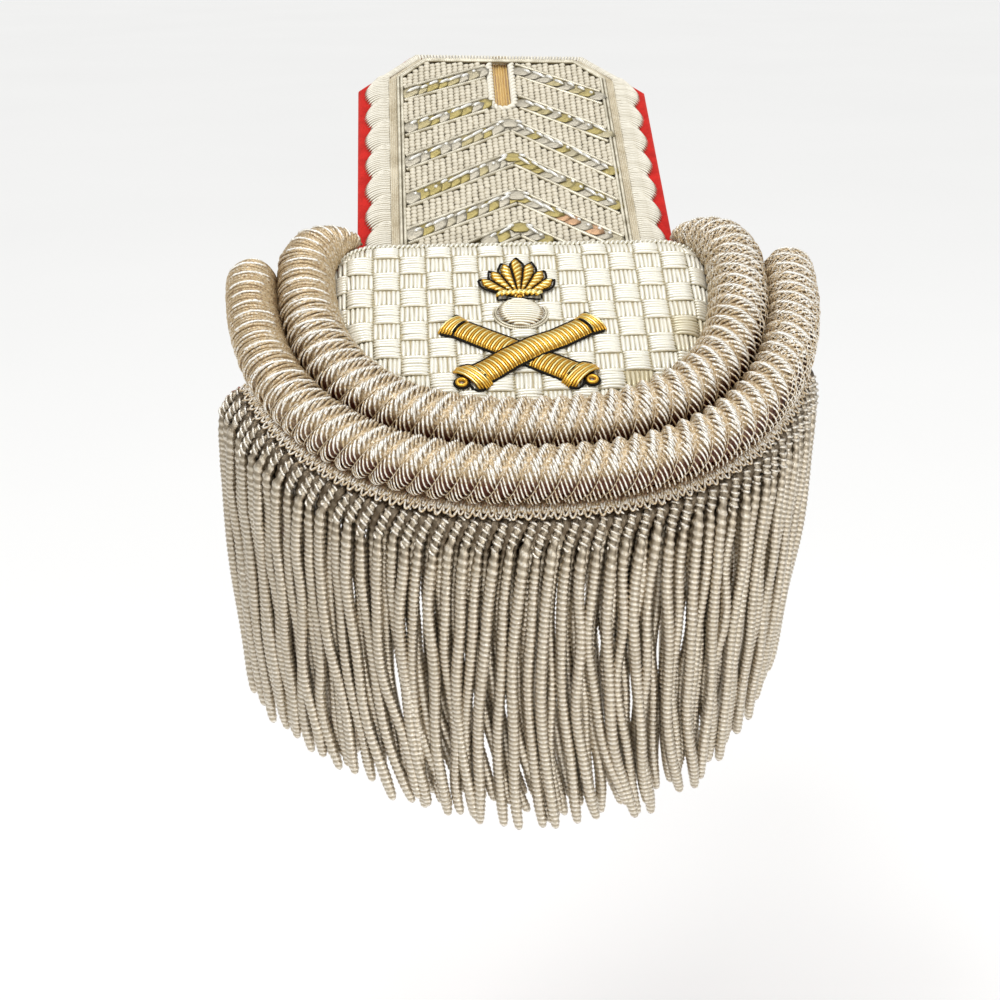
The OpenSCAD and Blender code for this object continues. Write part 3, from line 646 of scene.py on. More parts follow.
def passing_nodes(node, place, uv):
    """Silver-plated passing wire: smooth and almost white, warm with painted shade where it dips and on its
    sides, and browned where stained.
    """
    tint = node("Attribute", attribute_name="tint")
    wrap = node("TexWave", {"Vector": uv, "Scale": WAVE / WRAP_MM, "Distortion": 0.4}, bands_direction="X")
    clean = shaded(node, tint, 0.3, 0.85, PASSING_SHADE, PASSING_WHITE)
    return {"Base Color": shaded(node, tint, 0.0, 0.3, STAIN, clean),
            "Normal": node("Bump", {"Height": wrap, "Strength": 0.12, "Distance": 0.00005})}


passing = finish_named("silver passing wire", {"Metallic": 0.25, "Roughness": 0.25}, passing_nodes)
# Pressed wool: matt, and seen only as a dark line between blocks
felt = finish_named("tan padding felt", {"Roughness": 0.95}, speckled(FELT_MM, "#B4A683", "#D2C6A6"))
core = on_board("pad_felt", solid_of("crescent_pad"), felt, tilted=False)
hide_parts("crescent_pad")

t = np.linspace(-1, 1, 33)
wire_lines, wire_tints, wire_radii = [], [], []
for row in BLOCK_ROWS:
    for column in BLOCK_COLUMNS:
        centre = np.array([column * BLOCK_W, row * BLOCK_V]) + BLOCK_SHIFT
        across = (row + column) % 2 == 0
        wires, fill, reach, arch, sunk, thicker, tone = ACROSS if across else ALONG
        length, width = (BLOCK_W, BLOCK_V) if across else (BLOCK_V, BLOCK_W)
        for k in range(wires):
            shift = ((k + 0.5) / wires - 0.5) * width * fill
            wander = rng.normal(0, 0.06, 2)
            run = t * (reach * length) * rng.uniform(0.97, 1.03)
            sway = (shift + wander[0]) * (1 + 0.05 * t ** 4) + wander[1] * t
            line = (np.c_[run, sway] if across else np.c_[sway, run]) + centre
            keep = inset_of(line) > 0.25
            if keep.sum() < WIRE_PLACES:
                continue
            pick = np.linspace(*np.flatnonzero(keep)[[0, -1]], WIRE_PLACES)
            line, ends = read_at(pick, np.arange(len(t)), line), np.interp(pick, np.arange(len(t)), t)
            felt_top = CLOTH_T + np.interp(inset_of(line), *zip(*PAD_RISE))
            wire_lines.append(raised(line, felt_top - 0.1 + (arch * (1 - np.abs(ends) ** 3) - sunk)))
            wire_radii.append(PASSING_R + thicker)
            stain = sum(depth * np.exp(-(np.linalg.norm(centre - spot) / size) ** 2)
                        for spot, size, depth in STAINS)
            # Painted shade towards each wire's ends, where it dips under the next block
            wire_tints.append((1 - 0.35 * np.abs(ends) ** 5) * (1 - stain) * rng.uniform(0.9, 1) * tone)
basket = bmesh.new()
lay_wires(basket, wire_lines, np.outer(wire_radii, [0, 0.95, 1, 1, 1, 0.95, 0])[..., None], sides=7,
          tint=np.array(wire_tints)[..., None] * lit_side(7, 0.62))
on_board("basket_wires", basket, passing)

# A looped cord of the same wire finishes the edge towards the neck, with a coil of purl on it
EDGE_PURL_R, EDGE_LOOP_R, EDGE_STEP, EDGE_IN, EDGE_Z = 0.5, 0.3, 0.25, 0.6, CLOTH_T + 3.5
arc = np.linspace(0.1, pi / 2, 14)
half = np.c_[corner_x + (corner_r - EDGE_IN) * np.cos(arc), CRESCENT_V + (corner_r - EDGE_IN) * np.sin(arc)]
rim_line = evenly(np.concatenate([half, half[::-1] * (-1, 1)]), EDGE_STEP)
edge_purl, edge_loops = bmesh.new(), bmesh.new()
lay_purl(edge_purl, raised(rim_line + (0, 0.55), EDGE_Z - 0.55), EDGE_PURL_R)
turn = 2 * pi * EDGE_STEP * np.arange(len(rim_line))
loops = np.c_[rim_line[:, 0], rim_line[:, 1] + 0.45 * np.cos(turn), EDGE_Z + 0.35 * np.sin(turn)]
lay_wires(edge_loops, loops, EDGE_LOOP_R, tint=0.9 * lit_side(6, 0.5))
edge_purl = on_board("pad_edge_purl", edge_purl, silver_purl)
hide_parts("pad_purl")
on_board("pad_edge_loops", edge_loops, passing)

# Badge. A flaming grenade over two crossed gun barrels, the old sign of gunners. Gilt bullion
# is cut to length and sewn over felt, and black thread is couched round every part of it.
BADGE_X, BADGE_Z = -0.9, CLOTH_T + PAD_H + 0.6
# Each flame's lean in degrees and its length
FLAMES = [(-54, 9.3), (-34, 9.6), (-16, 10.6), (0, 11.8), (16, 10.8), (34, 9.4), (54, 8.6)]
FLAME_ROOT_V, FLAME_HALF, FLAME_PITCH, FLAME_R, THREAD_R, THREAD_OUT = -20.2, 1.32, 0.62, 0.31, 0.25, 0.14
# Along a flame's wire, how bright it is, with painted shade at its ends, and the brightness of
# every second wire, a painted highlight, and of the others
FLAME_TINTS, FLAME_TONES = np.array([0.1, 0.5, 0.7, 0.7, 0.5, 0.1]), (0.45, 1.45)
# Half width of a flame at shares of its length, and the outline that its thread follows
FLAME_SHAPE = ([0.1, 0.3, 0.5, 0.78, 0.9, 1.0], [0.1, 0.28, 0.56, 0.95, 0.8, 0])
LEAF = np.array([(0.12, 0.14), (0.34, 0.32), (0.64, 0.52), (1.02, 0.78), (0.86, 0.9), (0, 1.06)])
# The thread round the gilt band under the flames: over it and under it
BAND_TOP = np.array([(-4.5, -0.2), (-4.4, 1.3), (-3, 2.1), (0, 2.4), (3, 2.1), (4.4, 1.3), (4.5, -0.2)])
BAND_FOOT = np.array([(4.5, -0.1), (2.6, 0.1), (0, 0.5), (-2.6, 0.1), (-4.5, -0.1)])
BAND_HALF_W, TWIST_R, BAND_THREAD_R = 3.9, 0.42, 0.19
# Each twisted turn of the band is painted in shade towards both ends
TWIST_TINTS = np.array([0.2, 0.6, 0.9, 0.9, 0.6, 0.2])
BALL_V, BALL_R, BALL_FLAT, BALL_RISE, BALL_PITCH = -24.3, 4.85, 0.8, 0.7, 0.74
# The chain's two rows: how far each is outside the ball, and its height over the badge
CHAIN_R, CHAIN_ROWS = 0.3, ((0.1, 0.1), (0.55, -0.1))
GILT_LIGHT, GILT_DARK, GILT_PALE = "#F3BF48", "#9C6A18", "#FFF6AE"
# Gilt turns and the thread's twist are closer than this, and are drawn as coarse as they need to show
GILT_WRAP_MM, THREAD_MM = 0.25, 0.3


def gilt_nodes(node, place, uv):
    """Gilt wire: amber, with painted shade on its sides and deeper where it dips, and a pale lemon line on
    some turns as a painted highlight.
    """
    tint = node("Attribute", attribute_name="tint")
    deep = shaded(node, tint, 0.0, 0.6, GILT_DARK, GILT_LIGHT)
    wrap = node("TexWave", {"Vector": uv, "Scale": WAVE / GILT_WRAP_MM}, bands_direction="X")
    return {"Base Color": shaded(node, tint, 0.62, 0.88, deep, GILT_PALE),
            "Normal": node("Bump", {"Height": wrap, "Strength": 0.15, "Distance": 0.00005})}


def turned(points, angle, centre):
    """Points of the badge turned by an angle and moved to their place on the pad."""
    points, c, s = np.asarray(points, float), cos(angle), sin(angle)
    return points @ np.array([(c, s), (-s, c)]) + centre


gilt = finish_named("gilt bullion", {"Metallic": 0.9, "Roughness": 0.3}, gilt_nodes)
# Soft twisted silk: matt, and black but for a brown bloom
black_thread = finish_named("black silk thread", {"Roughness": 0.8, "Specular IOR Level": 0.15},
                            speckled(THREAD_MM, "#080706", "#26211A"))
flame_wires, flame_thread = bmesh.new(), bmesh.new()
across = np.linspace(-FLAME_HALF, FLAME_HALF, 41)
for angle, length in FLAMES:
    lean = -1 if angle < 0 else 1
    spots, lift, tone = [], [], []
    for turn, c in enumerate(np.arange(0.4, length + 1.4, FLAME_PITCH)):
        up = c + lean * across * 0.95
        inside = np.flatnonzero(np.abs(across) < FLAME_HALF * np.interp(up / length, *FLAME_SHAPE))
        if len(inside) < 4:
            continue
        spot = read_at(np.linspace(inside[0], inside[-1], 6), np.arange(41), np.c_[across, up])
        spots.append(spot)
        lift.append(0.25 + 0.6 * np.sqrt(np.clip(1 - (spot[:, 0] / FLAME_HALF) ** 2, 0, 1)))
        tone.append(FLAME_TINTS * FLAME_TONES[turn % 2])
    place = turned(spots, radians(-angle), (BADGE_X, FLAME_ROOT_V))
    lay_wires(flame_wires, raised(place, BADGE_Z - 0.3 + np.array(lift)), FLAME_R,
              tint=np.array(tone)[..., None] * lit_side(6, 0.2))
    leaf = np.concatenate([LEAF, LEAF[-2::-1] * (-1, 1)]) * (FLAME_HALF + THREAD_OUT, length)
    outline = evenly(turned(leaf, radians(-angle), (BADGE_X, FLAME_ROOT_V)), 0.5)
    lay_wires(flame_thread, raised(outline, BADGE_Z + 0.3), THREAD_R, sides=5)
xs = np.linspace(-BAND_HALF_W, BAND_HALF_W, 9)
arch = FLAME_ROOT_V + 1.0 + 0.35 * (1 - (xs / BAND_HALF_W) ** 2)
t = np.linspace(-1, 1, 6)[:, None]
twist = np.c_[xs + BADGE_X, arch][:, None] + t * (0.8, 0.66)
lay_wires(flame_wires, raised(twist, BADGE_Z + 0.5 + 0.5 * (1 - t[:, 0] ** 2)),
          TWIST_R * np.array([0, 0.9, 1, 1, 0.9, 0]), tint=TWIST_TINTS[:, None])
for part in (BAND_TOP, BAND_FOOT):
    outline = evenly(part + (BADGE_X, FLAME_ROOT_V), 0.5)
    lay_wires(flame_thread, raised(outline, BADGE_Z + 0.1), BAND_THREAD_R, sides=5)
flames = on_board("flame_wires", flame_wires, gilt)
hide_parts("grenade_flames")
on_board("flame_thread", flame_thread, black_thread)

ball = bmesh.new()
vs = np.arange(-BALL_R + 0.4, BALL_R - 0.2, BALL_PITCH)[:, None]
t = np.linspace(-1, 1, 8)
x = t * np.sqrt(BALL_R ** 2 - vs ** 2)
threads = np.stack([BADGE_X + x, BALL_V + vs * BALL_FLAT + 0.25 * (1 - t ** 2) - 0.3 * t], -1)
dome = np.sqrt(np.clip(1 - (x / BALL_R) ** 2 - (vs / BALL_R) ** 2, 0.01, 1))
lay_wires(ball, raised(threads, BADGE_Z + 0.1 + BALL_RISE * dome), FLAME_R,
          tint=rng.uniform(0.75, 1, (len(vs), 1, 1)) * lit_side(6, 0.0))
around = np.linspace(0.84 * pi, 2.16 * pi, 60)
chain = bmesh.new()
for grow, lift in CHAIN_ROWS:
    ring = np.c_[BADGE_X + (BALL_R + grow) * np.cos(around),
                 BALL_V + (BALL_R * BALL_FLAT + grow) * np.sin(around)]
    lay_purl(chain, raised(ring, BADGE_Z + lift), CHAIN_R)
on_board("grenade_ball_chain", chain, silver_purl)
ball = on_board("grenade_ball_threads", ball, passing)
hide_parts("grenade_ball")

BARREL_ANGLE, CROSS_V, BARREL_WIRE, OUTLINE_R = radians(31.5), -36.0, 0.28, 0.26
# Distance along the barrel and half width at the breech, its band, the muzzle band and muzzle
BARREL = [(-13.1, 3.3), (-12.2, 3.75), (-10.6, 3.35), (-10.5, 2.75), (14.2, 2.4), (14.3, 2.5), (16.7, 3.0)]
BREECH_BAND, MUZZLE_BAND, HIDDEN_HALF_L = -10.6, 14.2, 2.5
# The breech loop: its place along the barrel, its radius and its wire's, and the same round it
LOOP_AT, LOOP_R, LOOP_WIRE, LOOP_RIM_R, LOOP_THREAD = -14.4, 0.9, 0.4, 1.45, 0.24
across = np.array([-1.06, -1, -0.7, -0.25, 0.25, 0.7, 1, 1.06])
bulge = np.sqrt(np.clip(1 - (0.94 * across) ** 2, 0, 1))
t = np.linspace(-1, 1, 9)
circle = np.linspace(0, 2 * pi, 17)
circle = np.c_[np.cos(circle), np.sin(circle)]
# The upper barrel rises where it crosses the lower one, and the wires of each lean its own way
for name, angle, lifted, lean in (("cannon_over", BARREL_ANGLE, 0.75, -0.3),
                                  ("cannon_under", pi - BARREL_ANGLE, 0.0, 0.3)):
    wires, thread = bmesh.new(), bmesh.new()
    spots, heights, tones = [], [], []
    for k, p in enumerate(np.arange(-13.3, 16.6, 2 * BARREL_WIRE * 0.95)):
        if name == "cannon_under" and abs(p) < HIDDEN_HALF_L:
            continue
        half = np.interp(p, *zip(*BARREL))
        in_band = p < BREECH_BAND or p > MUZZLE_BAND
        slant = lean * (1.6 if in_band else 0.7)
        spots.append(np.c_[p + slant * across * half * 0.5 + 0.25 * (1 - across ** 2), across * half])
        lift = lifted * np.clip(1.6 - abs(p) / 5, 0, 1)
        heights.append(BADGE_Z - 0.35 + lift + (1.55 if in_band else 1.2) * bulge)
        # Every second wire is painted bright as a highlight, with less contrast in the bands, and each is
        # painted in shade towards the barrel's sides
        tone = 0.42 if k % 2 else 1.0
        tones.append((0.3 if in_band else 0) * (k % 2) + tone * (0.35 + 0.65 * bulge))
    at_cross = (angle, (BADGE_X, CROSS_V))
    lay_wires(wires, raised(turned(spots, *at_cross), heights), BARREL_WIRE,
              tint=np.clip(tones, 0, 1)[..., None] * lit_side(6, 0.25))
    ring, rim = [turned((LOOP_AT, 0) + r * circle, *at_cross) for r in (LOOP_R, LOOP_RIM_R)]
    lay_wires(wires, raised(ring, BADGE_Z + 0.3), LOOP_WIRE, sides=7, shut=False)
    lay_wires(thread, raised(rim, BADGE_Z + 0.1), LOOP_THREAD, sides=5, shut=False)
    outline = np.array([(-13.4, 0), (-13.5, 2.5), *(np.array(BARREL) + (0, 0.12)), (17.0, 2.6), (17.0, 0)])
    outline = evenly(np.concatenate([outline, outline[::-1] * (1, -1)]), 0.5)
    rise = BADGE_Z + 0.15 + lifted * np.clip(1.6 - np.abs(outline[:, 0]) / 5, 0, 1)
    lay_wires(thread, raised(turned(outline, *at_cross), rise), OUTLINE_R, sides=5)
    for p in (BREECH_BAND + 0.05, MUZZLE_BAND + 0.05):
        half = np.interp(p, *zip(*BARREL))
        line = turned(np.c_[p + lean * t * half * 0.6 + 0.2 * (1 - t ** 2), t * half], *at_cross)
        lay_wires(thread, raised(line, BADGE_Z - 0.05 + 1.3 * np.sqrt(1 - t ** 2)), THREAD_R, sides=5)
    barrel = on_board(f"{name}_wires", wires, gilt)
    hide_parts(name)
    on_board(f"{name}_thread", thread, black_thread)

# Rolls. Two soft cotton cores bent round the pad and wound with champagne bullion. Its windings
# make the slanting ridges, and the turns of its coil are the fine wires that cross them.
ROLL_FLOOR = CLOTH_T + 0.1
OUTER_R, INNER_R, OUTER_START = 5.0, 5.6, 0.022
WIRE, WIRE_R, NET_R, NET_FROM, NET_CLIMBS = 0.8, 0.25, 0.12, 0.8, (26.0, -18.0)
# Along a roll from its left end: how far apart its ridges are and how high, how far one turn
# round the core carries them, how far one carries the fine wires, and how far those lie apart
# in bundles on the lower side
SHARES = [0, 0.13, 0.3, 0.8, 1]
RIDGE_PITCH, RIDGE_RISE = [2.8, 3.0, 3.4, 3.4, 2.8], [0.1, 0.25, 1.5, 1.5, 0.8]
RIDGE_CLIMB, WIRE_CLIMB, BUNDLED = [2, 4, 13, 13, 9], [6, 6, -9, -9, -4], [0, 0.1, 1, 1, 0.5]
ROLL_LIGHT, ROLL_MID, ROLL_HOLLOW = "#FFFCF4", "#C8B18A", "#5C1E10"
SPECK_MM, WAX_MM = 0.45, 9.0
# Degrees round a roll from its outer side, over its top: where its wires start and end, and
# where they lie apart, and so where the core under them is painted dark as shade
WIRE_START, WIRE_END = -50, 204
APART, DARK_CORE = ([22, 52], [1, 0]), ([25, 50, 300, 320], [1, 0, 0, 1])
# A fine wire at its 30 places: how thick it is, and how much more along the roll. Then the painted
# highlight on a bundle at degrees round the roll, and from where to where a pale wire edges it
THICK, THICKER = ([0, 1, 9, 13, 28, 29], [0, 0.8, 0.8, 1.3, 1.3, 0]), [1.5, 1.4, 1, 1, 1.2]
GLINT, PALE_FROM, PALE_TO = ([20, 40, 75, 95], [0, 1, 1, 0]), -45, 75
# A crest's strokes start and end somewhere in these degrees, and a little further round where
# the wires lie apart
CREST_FROM, CREST_TO, CREST_ROUND = (35, 55), (105, 135), 8
# Strokes on each crest, painted bright as highlights: how many, how many degrees round the roll each
# reaches, their radius, and how bright they are at degrees round it
STROKES, STROKE_REACH, STROKE_R = 10, 10, [0.27, 0.24, 0.19, 0.19, 0.19]
STROKE_LIFT, STROKE_LIGHT, STROKE_SHADE = 0.22, 2.6, ([35, 52, 108, 130], [0.3, 1, 1, 0.3])
# Painted shade round each roll at degrees round it: darker where it lies against what is beside it
OUTER_SHADE = ([0, 130, 185, 230, 300, 360], [1, 1, 0.35, 0.15, 0.6, 1])
INNER_SHADE = ([0, 20, 45, 170, 220, 300, 360], [0.4, 0.8, 1, 1, 0.5, 0.15, 0.4])
# The inner roll's curled end: x, v, height of its centre over the floor, and radius
ROLL_END = np.array([
    (42.7, -8.8, 5.6, 5.6), (41.4, -4.9, 5.3, 5.25), (39, -1.4, 4.4, 4.25), (36.2, 0.9, 3.3, 3.15),
    (33.9, 2, 2.2, 2.05), (32.9, 2.3, 1.7, 1.4), (32.2, 2.4, 1.5, 0)])


def roll_nodes(node, place, uv):
    """Champagne-plated wire: pale on its crests and tan below, as painted highlight and shade, and dark
    red-brown in the hollows: the core's red-brown wax, darkened by painted shade.
    """
    depth = node("Attribute", attribute_name="tint")
    speck = node("TexNoise", {"Vector": place, "Scale": 1000 / SPECK_MM, "Detail": 2.0})
    patch = node("TexNoise", {"Vector": place, "Scale": 1000 / WAX_MM, "Detail": 2.0})
    sparkle = node("MapRange", {"Value": speck, "From Min": 0.36, "From Max": 0.64, "To Min": 0.25,
                                "To Max": 0.85})
    shading_by_speck = node("Math", {0: depth, 1: sparkle}, operation="MULTIPLY")
    metal = shaded(node, shading_by_speck, 0.2, 0.5, ROLL_MID, ROLL_LIGHT)
    return {"Base Color": shaded(node, shading_by_speck, 0.0, 0.14, ROLL_HOLLOW, metal),
            "Roughness": node("MapRange", {"Value": patch, "To Min": 0.3, "To Max": 0.5}),
            "Normal": node("Bump", {"Height": speck, "Strength": 0.8, "Distance": 0.0003})}


champagne = finish_named("champagne bullion", {"Metallic": 0.4}, roll_nodes)


def wind_roll(centres, radii, core_r, shade):
    """A roll's wires over its core, and its shade round it."""
    bm = bmesh.new()
    walked = walked_to(centres)
    length = walked[-1]
    way = np.gradient(centres, walked, axis=0)
    spots = np.linspace(0, length, 400)
    ridges = np.r_[0, np.cumsum(np.diff(spots) / np.interp(spots[1:] / length, SHARES, RIDGE_PITCH))]

    def here(at, values):
        """What a row of values along the roll comes to at these places."""
        return np.interp(at / length, SHARES, values)

    core = evenly(centres, 1.0)
    marks = np.linspace(0, length, len(core))
    size = np.interp(marks, walked, radii)
    degrees = np.arange(25) / 24 * 360
    # Painted shade: the core is dark where the wires lie apart over it, and as the roll's shade table gives
    lower = here(marks, BUNDLED)[:, None] * np.interp(degrees, *DARK_CORE)
    under = np.where(size > 0, np.maximum(size - 0.45, 0.05), 0)[:, None] * (1 - 0.12 * lower)
    lay_wires(bm, core, under, sides=24, tint=(0.4 - 0.38 * lower) * np.interp(degrees, *shade))

    def lay(start, climb, first, last, rings, wire_r, lift, tone):
        """Wires that start at these places along the top, and climb as they go round."""
        turn = np.radians(np.linspace(np.broadcast_to(first, start.shape), last, rings)).T
        at = np.clip(start[:, None] + climb[:, None] * (turn - pi / 2) / (2 * pi), 0, length)
        along_way = read_at(at, walked, way)
        out = unit(np.cross(along_way, (0, 0, 1)))
        top = unit(np.cross(out, along_way))
        slant = here(at, RIDGE_CLIMB) * (turn - pi / 2) / (2 * pi)
        ridge = np.sin(pi * (np.interp(at - slant, spots, ridges) % 1)) ** 0.7
        size = np.interp(at, walked, radii)
        stand = here(at, RIDGE_RISE) * (ridge - 0.75) + lift
        stand = size - 0.1 + stand * np.clip(size / core_r * 2 - 0.2, 0, 1)
        stand = np.maximum(stand + rng.normal(0, 0.04, (len(start), 1)), 0.05)
        normal = np.cos(turn)[..., None] * out + np.sin(turn)[..., None] * top
        tint, low = tone(at, np.degrees(turn), ridge)
        # Each wire takes the roll's painted shade at its degrees round it, and painted shade on its lower
        # half
        tint = tint * rng.uniform(0.8, 1.1, (len(start), 1)) * np.interp(np.degrees(turn) % 360, *shade)
        tint = tint[..., None] * (low + (1 - low) * lit_side(4, 0))
        line = read_at(at, walked, centres) + stand[..., None] * normal
        lay_wires(bm, line, wire_r[..., None], sides=4, up=normal, tint=tint)

    def over_ridges(at, turn, ridge):
        """Plain tan on top, a little lighter on the crests, with painted highlights on the front where the
        wires cross them; on the lower side a painted highlight on each bundle's crest and painted shade
        between its wires.
        """
        front = here(at, BUNDLED)
        apart = front * np.interp(turn, *APART)
        glint = 0.6 * front * ridge ** 5 * np.interp(turn, *GLINT)
        close, spread = 0.29 + 0.15 * front + 0.12 * ridge + glint, 0.08 + 1.5 * ridge ** 1.2
        return close * (1 - apart) + spread * apart, (0.85 - 0.8 * apart)[..., None]

    count = int((length - 2) / WIRE)
    start = 1 + (length - 2) * (np.arange(count) + 0.5) / count + rng.normal(0, 0.05, count)
    thick = np.interp(np.arange(30), *THICK) * here(start, THICKER)[:, None]
    lay(start, here(start, WIRE_CLIMB), WIRE_START - 14 * (np.interp(start, spots, ridges) % 1), WIRE_END,
        30, WIRE_R * thick, WIRE_R * (1 - thick), over_ridges)
    # A loose net of single wires lies over the right side
    net = np.repeat(start[start > NET_FROM * length], 2) + 0.15
    lay(net, np.resize(NET_CLIMBS, len(net)), WIRE_START, WIRE_END, 24, NET_R * np.r_[0, np.ones(22), 0],
        NET_R, lambda at, turn, ridge: (0.8, 0.5))
    # Along each crest, painted highlights mark the fine wires one by one, as a row of short strokes
    crests = np.interp(np.arange(0.5, ridges[-1]), ridges, spots)
    limits = np.c_[rng.uniform(*CREST_FROM, len(crests)), rng.uniform(*CREST_TO, len(crests))]
    limits += CREST_ROUND * here(crests, BUNDLED)[:, None]
    middle = limits[:, :1] + np.ptp(limits, axis=1)[:, None] * (np.arange(STROKES) + 0.5) / STROKES
    ridge_climb, wire_climb = here(crests, RIDGE_CLIMB), here(crests, WIRE_CLIMB)
    tops = crests[:, None] + (ridge_climb - wire_climb)[:, None] * (middle - 90) / 360
    middle = middle.ravel()
    lay(tops.ravel(), np.repeat(wire_climb, STROKES), middle - STROKE_REACH, middle + STROKE_REACH, 4,
        np.repeat(here(crests, STROKE_R), STROKES)[:, None] * np.array([0, 1, 1, 0]), STROKE_LIFT,
        lambda at, turn, ridge: (STROKE_LIGHT * np.interp(turn, *STROKE_SHADE), 0.6))
    # A pale wire edges each bundle on its lower side
    valleys = np.interp(np.arange(1.0, ridges[-1]), ridges, spots)
    valleys = valleys[here(valleys, BUNDLED) > 0.6]
    lay(valleys + 0.1, here(valleys, RIDGE_CLIMB), PALE_FROM, PALE_TO, 12,
        NET_R * np.r_[0, np.ones(10), 0], 0.5,
        lambda at, turn, ridge: (0.6, 0.5))
    return bm


# The outer roll keeps its thickness, and is closed by a dome at each end
line = on_crescent(np.linspace(OUTER_START, 1 - OUTER_START, 90))[0]
dome = np.radians([18, 36, 54, 70, 82, 90])
first, last = [tip + unit(tip - beside) * OUTER_R * np.sin(dome)[:, None]
               for tip, beside in ((line[0], line[1]), (line[-1], line[-2]))]
radii = np.r_[OUTER_R * np.cos(dome)[::-1], np.full(len(line), OUTER_R), OUTER_R * np.cos(dome)]
radii[[0, -1]] = 0
centres = raised(np.concatenate([first[::-1], line, last]), ROLL_FLOOR + OUTER_R)
roll = on_board("outer_roll_bullion", wind_roll(centres, radii, OUTER_R, OUTER_SHADE), champagne)
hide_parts("outer_roll")

# The inner one grows thinner where it curls in beside the strap
line = on_crescent(np.linspace(0, 1, 100), INNER_OFFSET)[0]
front = raised(raised(line, ROLL_FLOOR + INNER_R), INNER_R)
right_end = ROLL_END + (0, 0, ROLL_FLOOR, 0)
sections = np.concatenate([right_end[::-1] * (-1, 1, 1, 1), front, right_end])
wound = wind_roll(sections[:, :3], sections[:, 3], INNER_R, INNER_SHADE)
roll = on_board("inner_roll_bullion", wound, champagne)
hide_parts("inner_roll")

# Picot edge. The lace that binds the board's rim ends in small pointed loops of the same
# wire, two nested in each, which show under the outer roll, over two cords painted dark as its shadow.
PICOTS, PICOT_SPAN, PICOT_REACH, PICOT_HALF_W, PICOT_R = 100, (0.15, 0.85), 3.1, 0.85, 0.25
RIM_OUT, SHADE_CORD_R = 3.0, 1.2
picot = bmesh.new()
root, out = on_crescent(np.linspace(*PICOT_SPAN, PICOTS), RIM_OUT)
beside = left_of(out)
t = np.linspace(-1, 1, 11)
large = np.where(np.arange(PICOTS) % 2 == 0, 1, 0.85)[:, None]
for size in (1.0, 0.45):
    reach = PICOT_REACH * (0.35 + 0.65 * size) * large * (1 - t ** 2) ** 0.6
    loop = (root[:, None] + beside[:, None] * (PICOT_HALF_W * size * large * t - 0.15 * reach)[..., None]
            + out[:, None] * (0.9 * reach)[..., None])
    lay_wires(picot, raised(loop, CLOTH_T + 1.0 - 0.5 * reach), PICOT_R, sides=5,
              tint=0.75 * lit_side(5, 0.15))
shade_cords = on_crescent(np.linspace(*PICOT_SPAN, 160), RIM_OUT - 0.1)[0]
# Both cords are painted dark as the shadow under the roll, the lower one darker still
for drop in (0.2, 2.1):
    lay_wires(picot, raised(shade_cords, CLOTH_T - drop), SHADE_CORD_R, sides=8, tint=0.14 / (1 + drop))
picot = on_board("picot_loops", picot, champagne)
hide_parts("picot_edge")

# Fringe. Strands of bullion, a springy coil of plated wire a little over 2 mm thick, hang in
# three rows from a tape sewn round the rim. Each is hooked over the rim and ends in a point.
FRINGE_L, FRINGE_OUT, FRINGE_SWING, FRINGE_SWAY, FRINGE_SPAN = 59.0, 2.9, 1.6, 12.0, (0.135, 0.865)
HEAD_OUT, HEAD_Z, STRANDS = 5.4, 0.7, 54
# Strands in a lock, how far locks and single strands stray at their tips, the lengths of a
# strand's waves as shares of its own, and its ripple towards the front
LOCK, LOCK_LEAN, STRAND_LEAN, WAVES, RIPPLE = 4, 2.2, 0.9, (1.1, 0.7, 0.45), 0.3
# From least to most: the size of a wave, the length of a ripple as a share of the strand's, and how
# far its coil is drawn out at the hook. Then how far back every second strand of a row hangs
WAVE_SIZE, RIPPLE_SHARE, DRAWN_OUT, SET_BACK = (0.05, 0.55), (0.3, 0.7), (0.5, 1.1), 0.7
TUCK_FRONT, TUCK_LEFT, TUCK_RIGHT = 2.0, 1.5, 8.0
STRAND_R, COIL_TURN, COIL_RISE = 1.2, 1.0, 0.22
HOOK_TURN, HOOK_WIRE, HOOK_RINGS = 2.4, 0.3, 13
# A strand at shares of its length: how far out it stands, and how far down it has fallen
STANDS = ([0, 0.018, 0.036, 0.08, 0.25, 0.6, 0.94, 1], [-0.5, -0.05, 0.4, 0.85, 1, 0.9, 0.8, 0.75])
FALLS = ([0, 0.018, 0.036, 0.08, 1], [-0.006, -0.004, 0.012, 0.055, 1])
# Its thickness and its brightness at shares of its coil, and how far a place belongs to the hook
TAPER = ([0, 0.01, 0.92, 0.98, 0.995, 1], [0, 1, 1, 0.8, 0.5, 0])
PALER = ([0.08, 0.14, 0.4, 0.7, 1], [0.6, 0.68, 0.66, 0.7, 0.77])
HOOKED = ([0, 0.06, 0.1], [1, 1, 0])
# The rows from the front: how far each hangs behind, its shift in half strands, its length as a
# share of the front's, the rings in a turn of its coil, and its sides
ROWS = [("", 0.0, 0.0, 1.0, 3, 10), ("_second_row", 1.8, 1.0, 0.985, 3, 8),
        ("_third_row", 3.6, 0.5, 0.96, 2, 6)]
# How much longer the strands are than FRINGE_L, along the crescent
LONGER = ([0, 0.1, 0.35, 0.5, 0.7, 0.85, 1], [1.03, 1.0, 1.0, 1.06, 1.08, 1.05, 1.1])
BULLION_LIGHT, BULLION_MID, BULLION_DARK, COIL_PATCH_MM = "#FBF6EC", "#C2B59F", "#463624", 14.0
DOWN = np.array([0, -sin(SLOPE), -cos(SLOPE)])


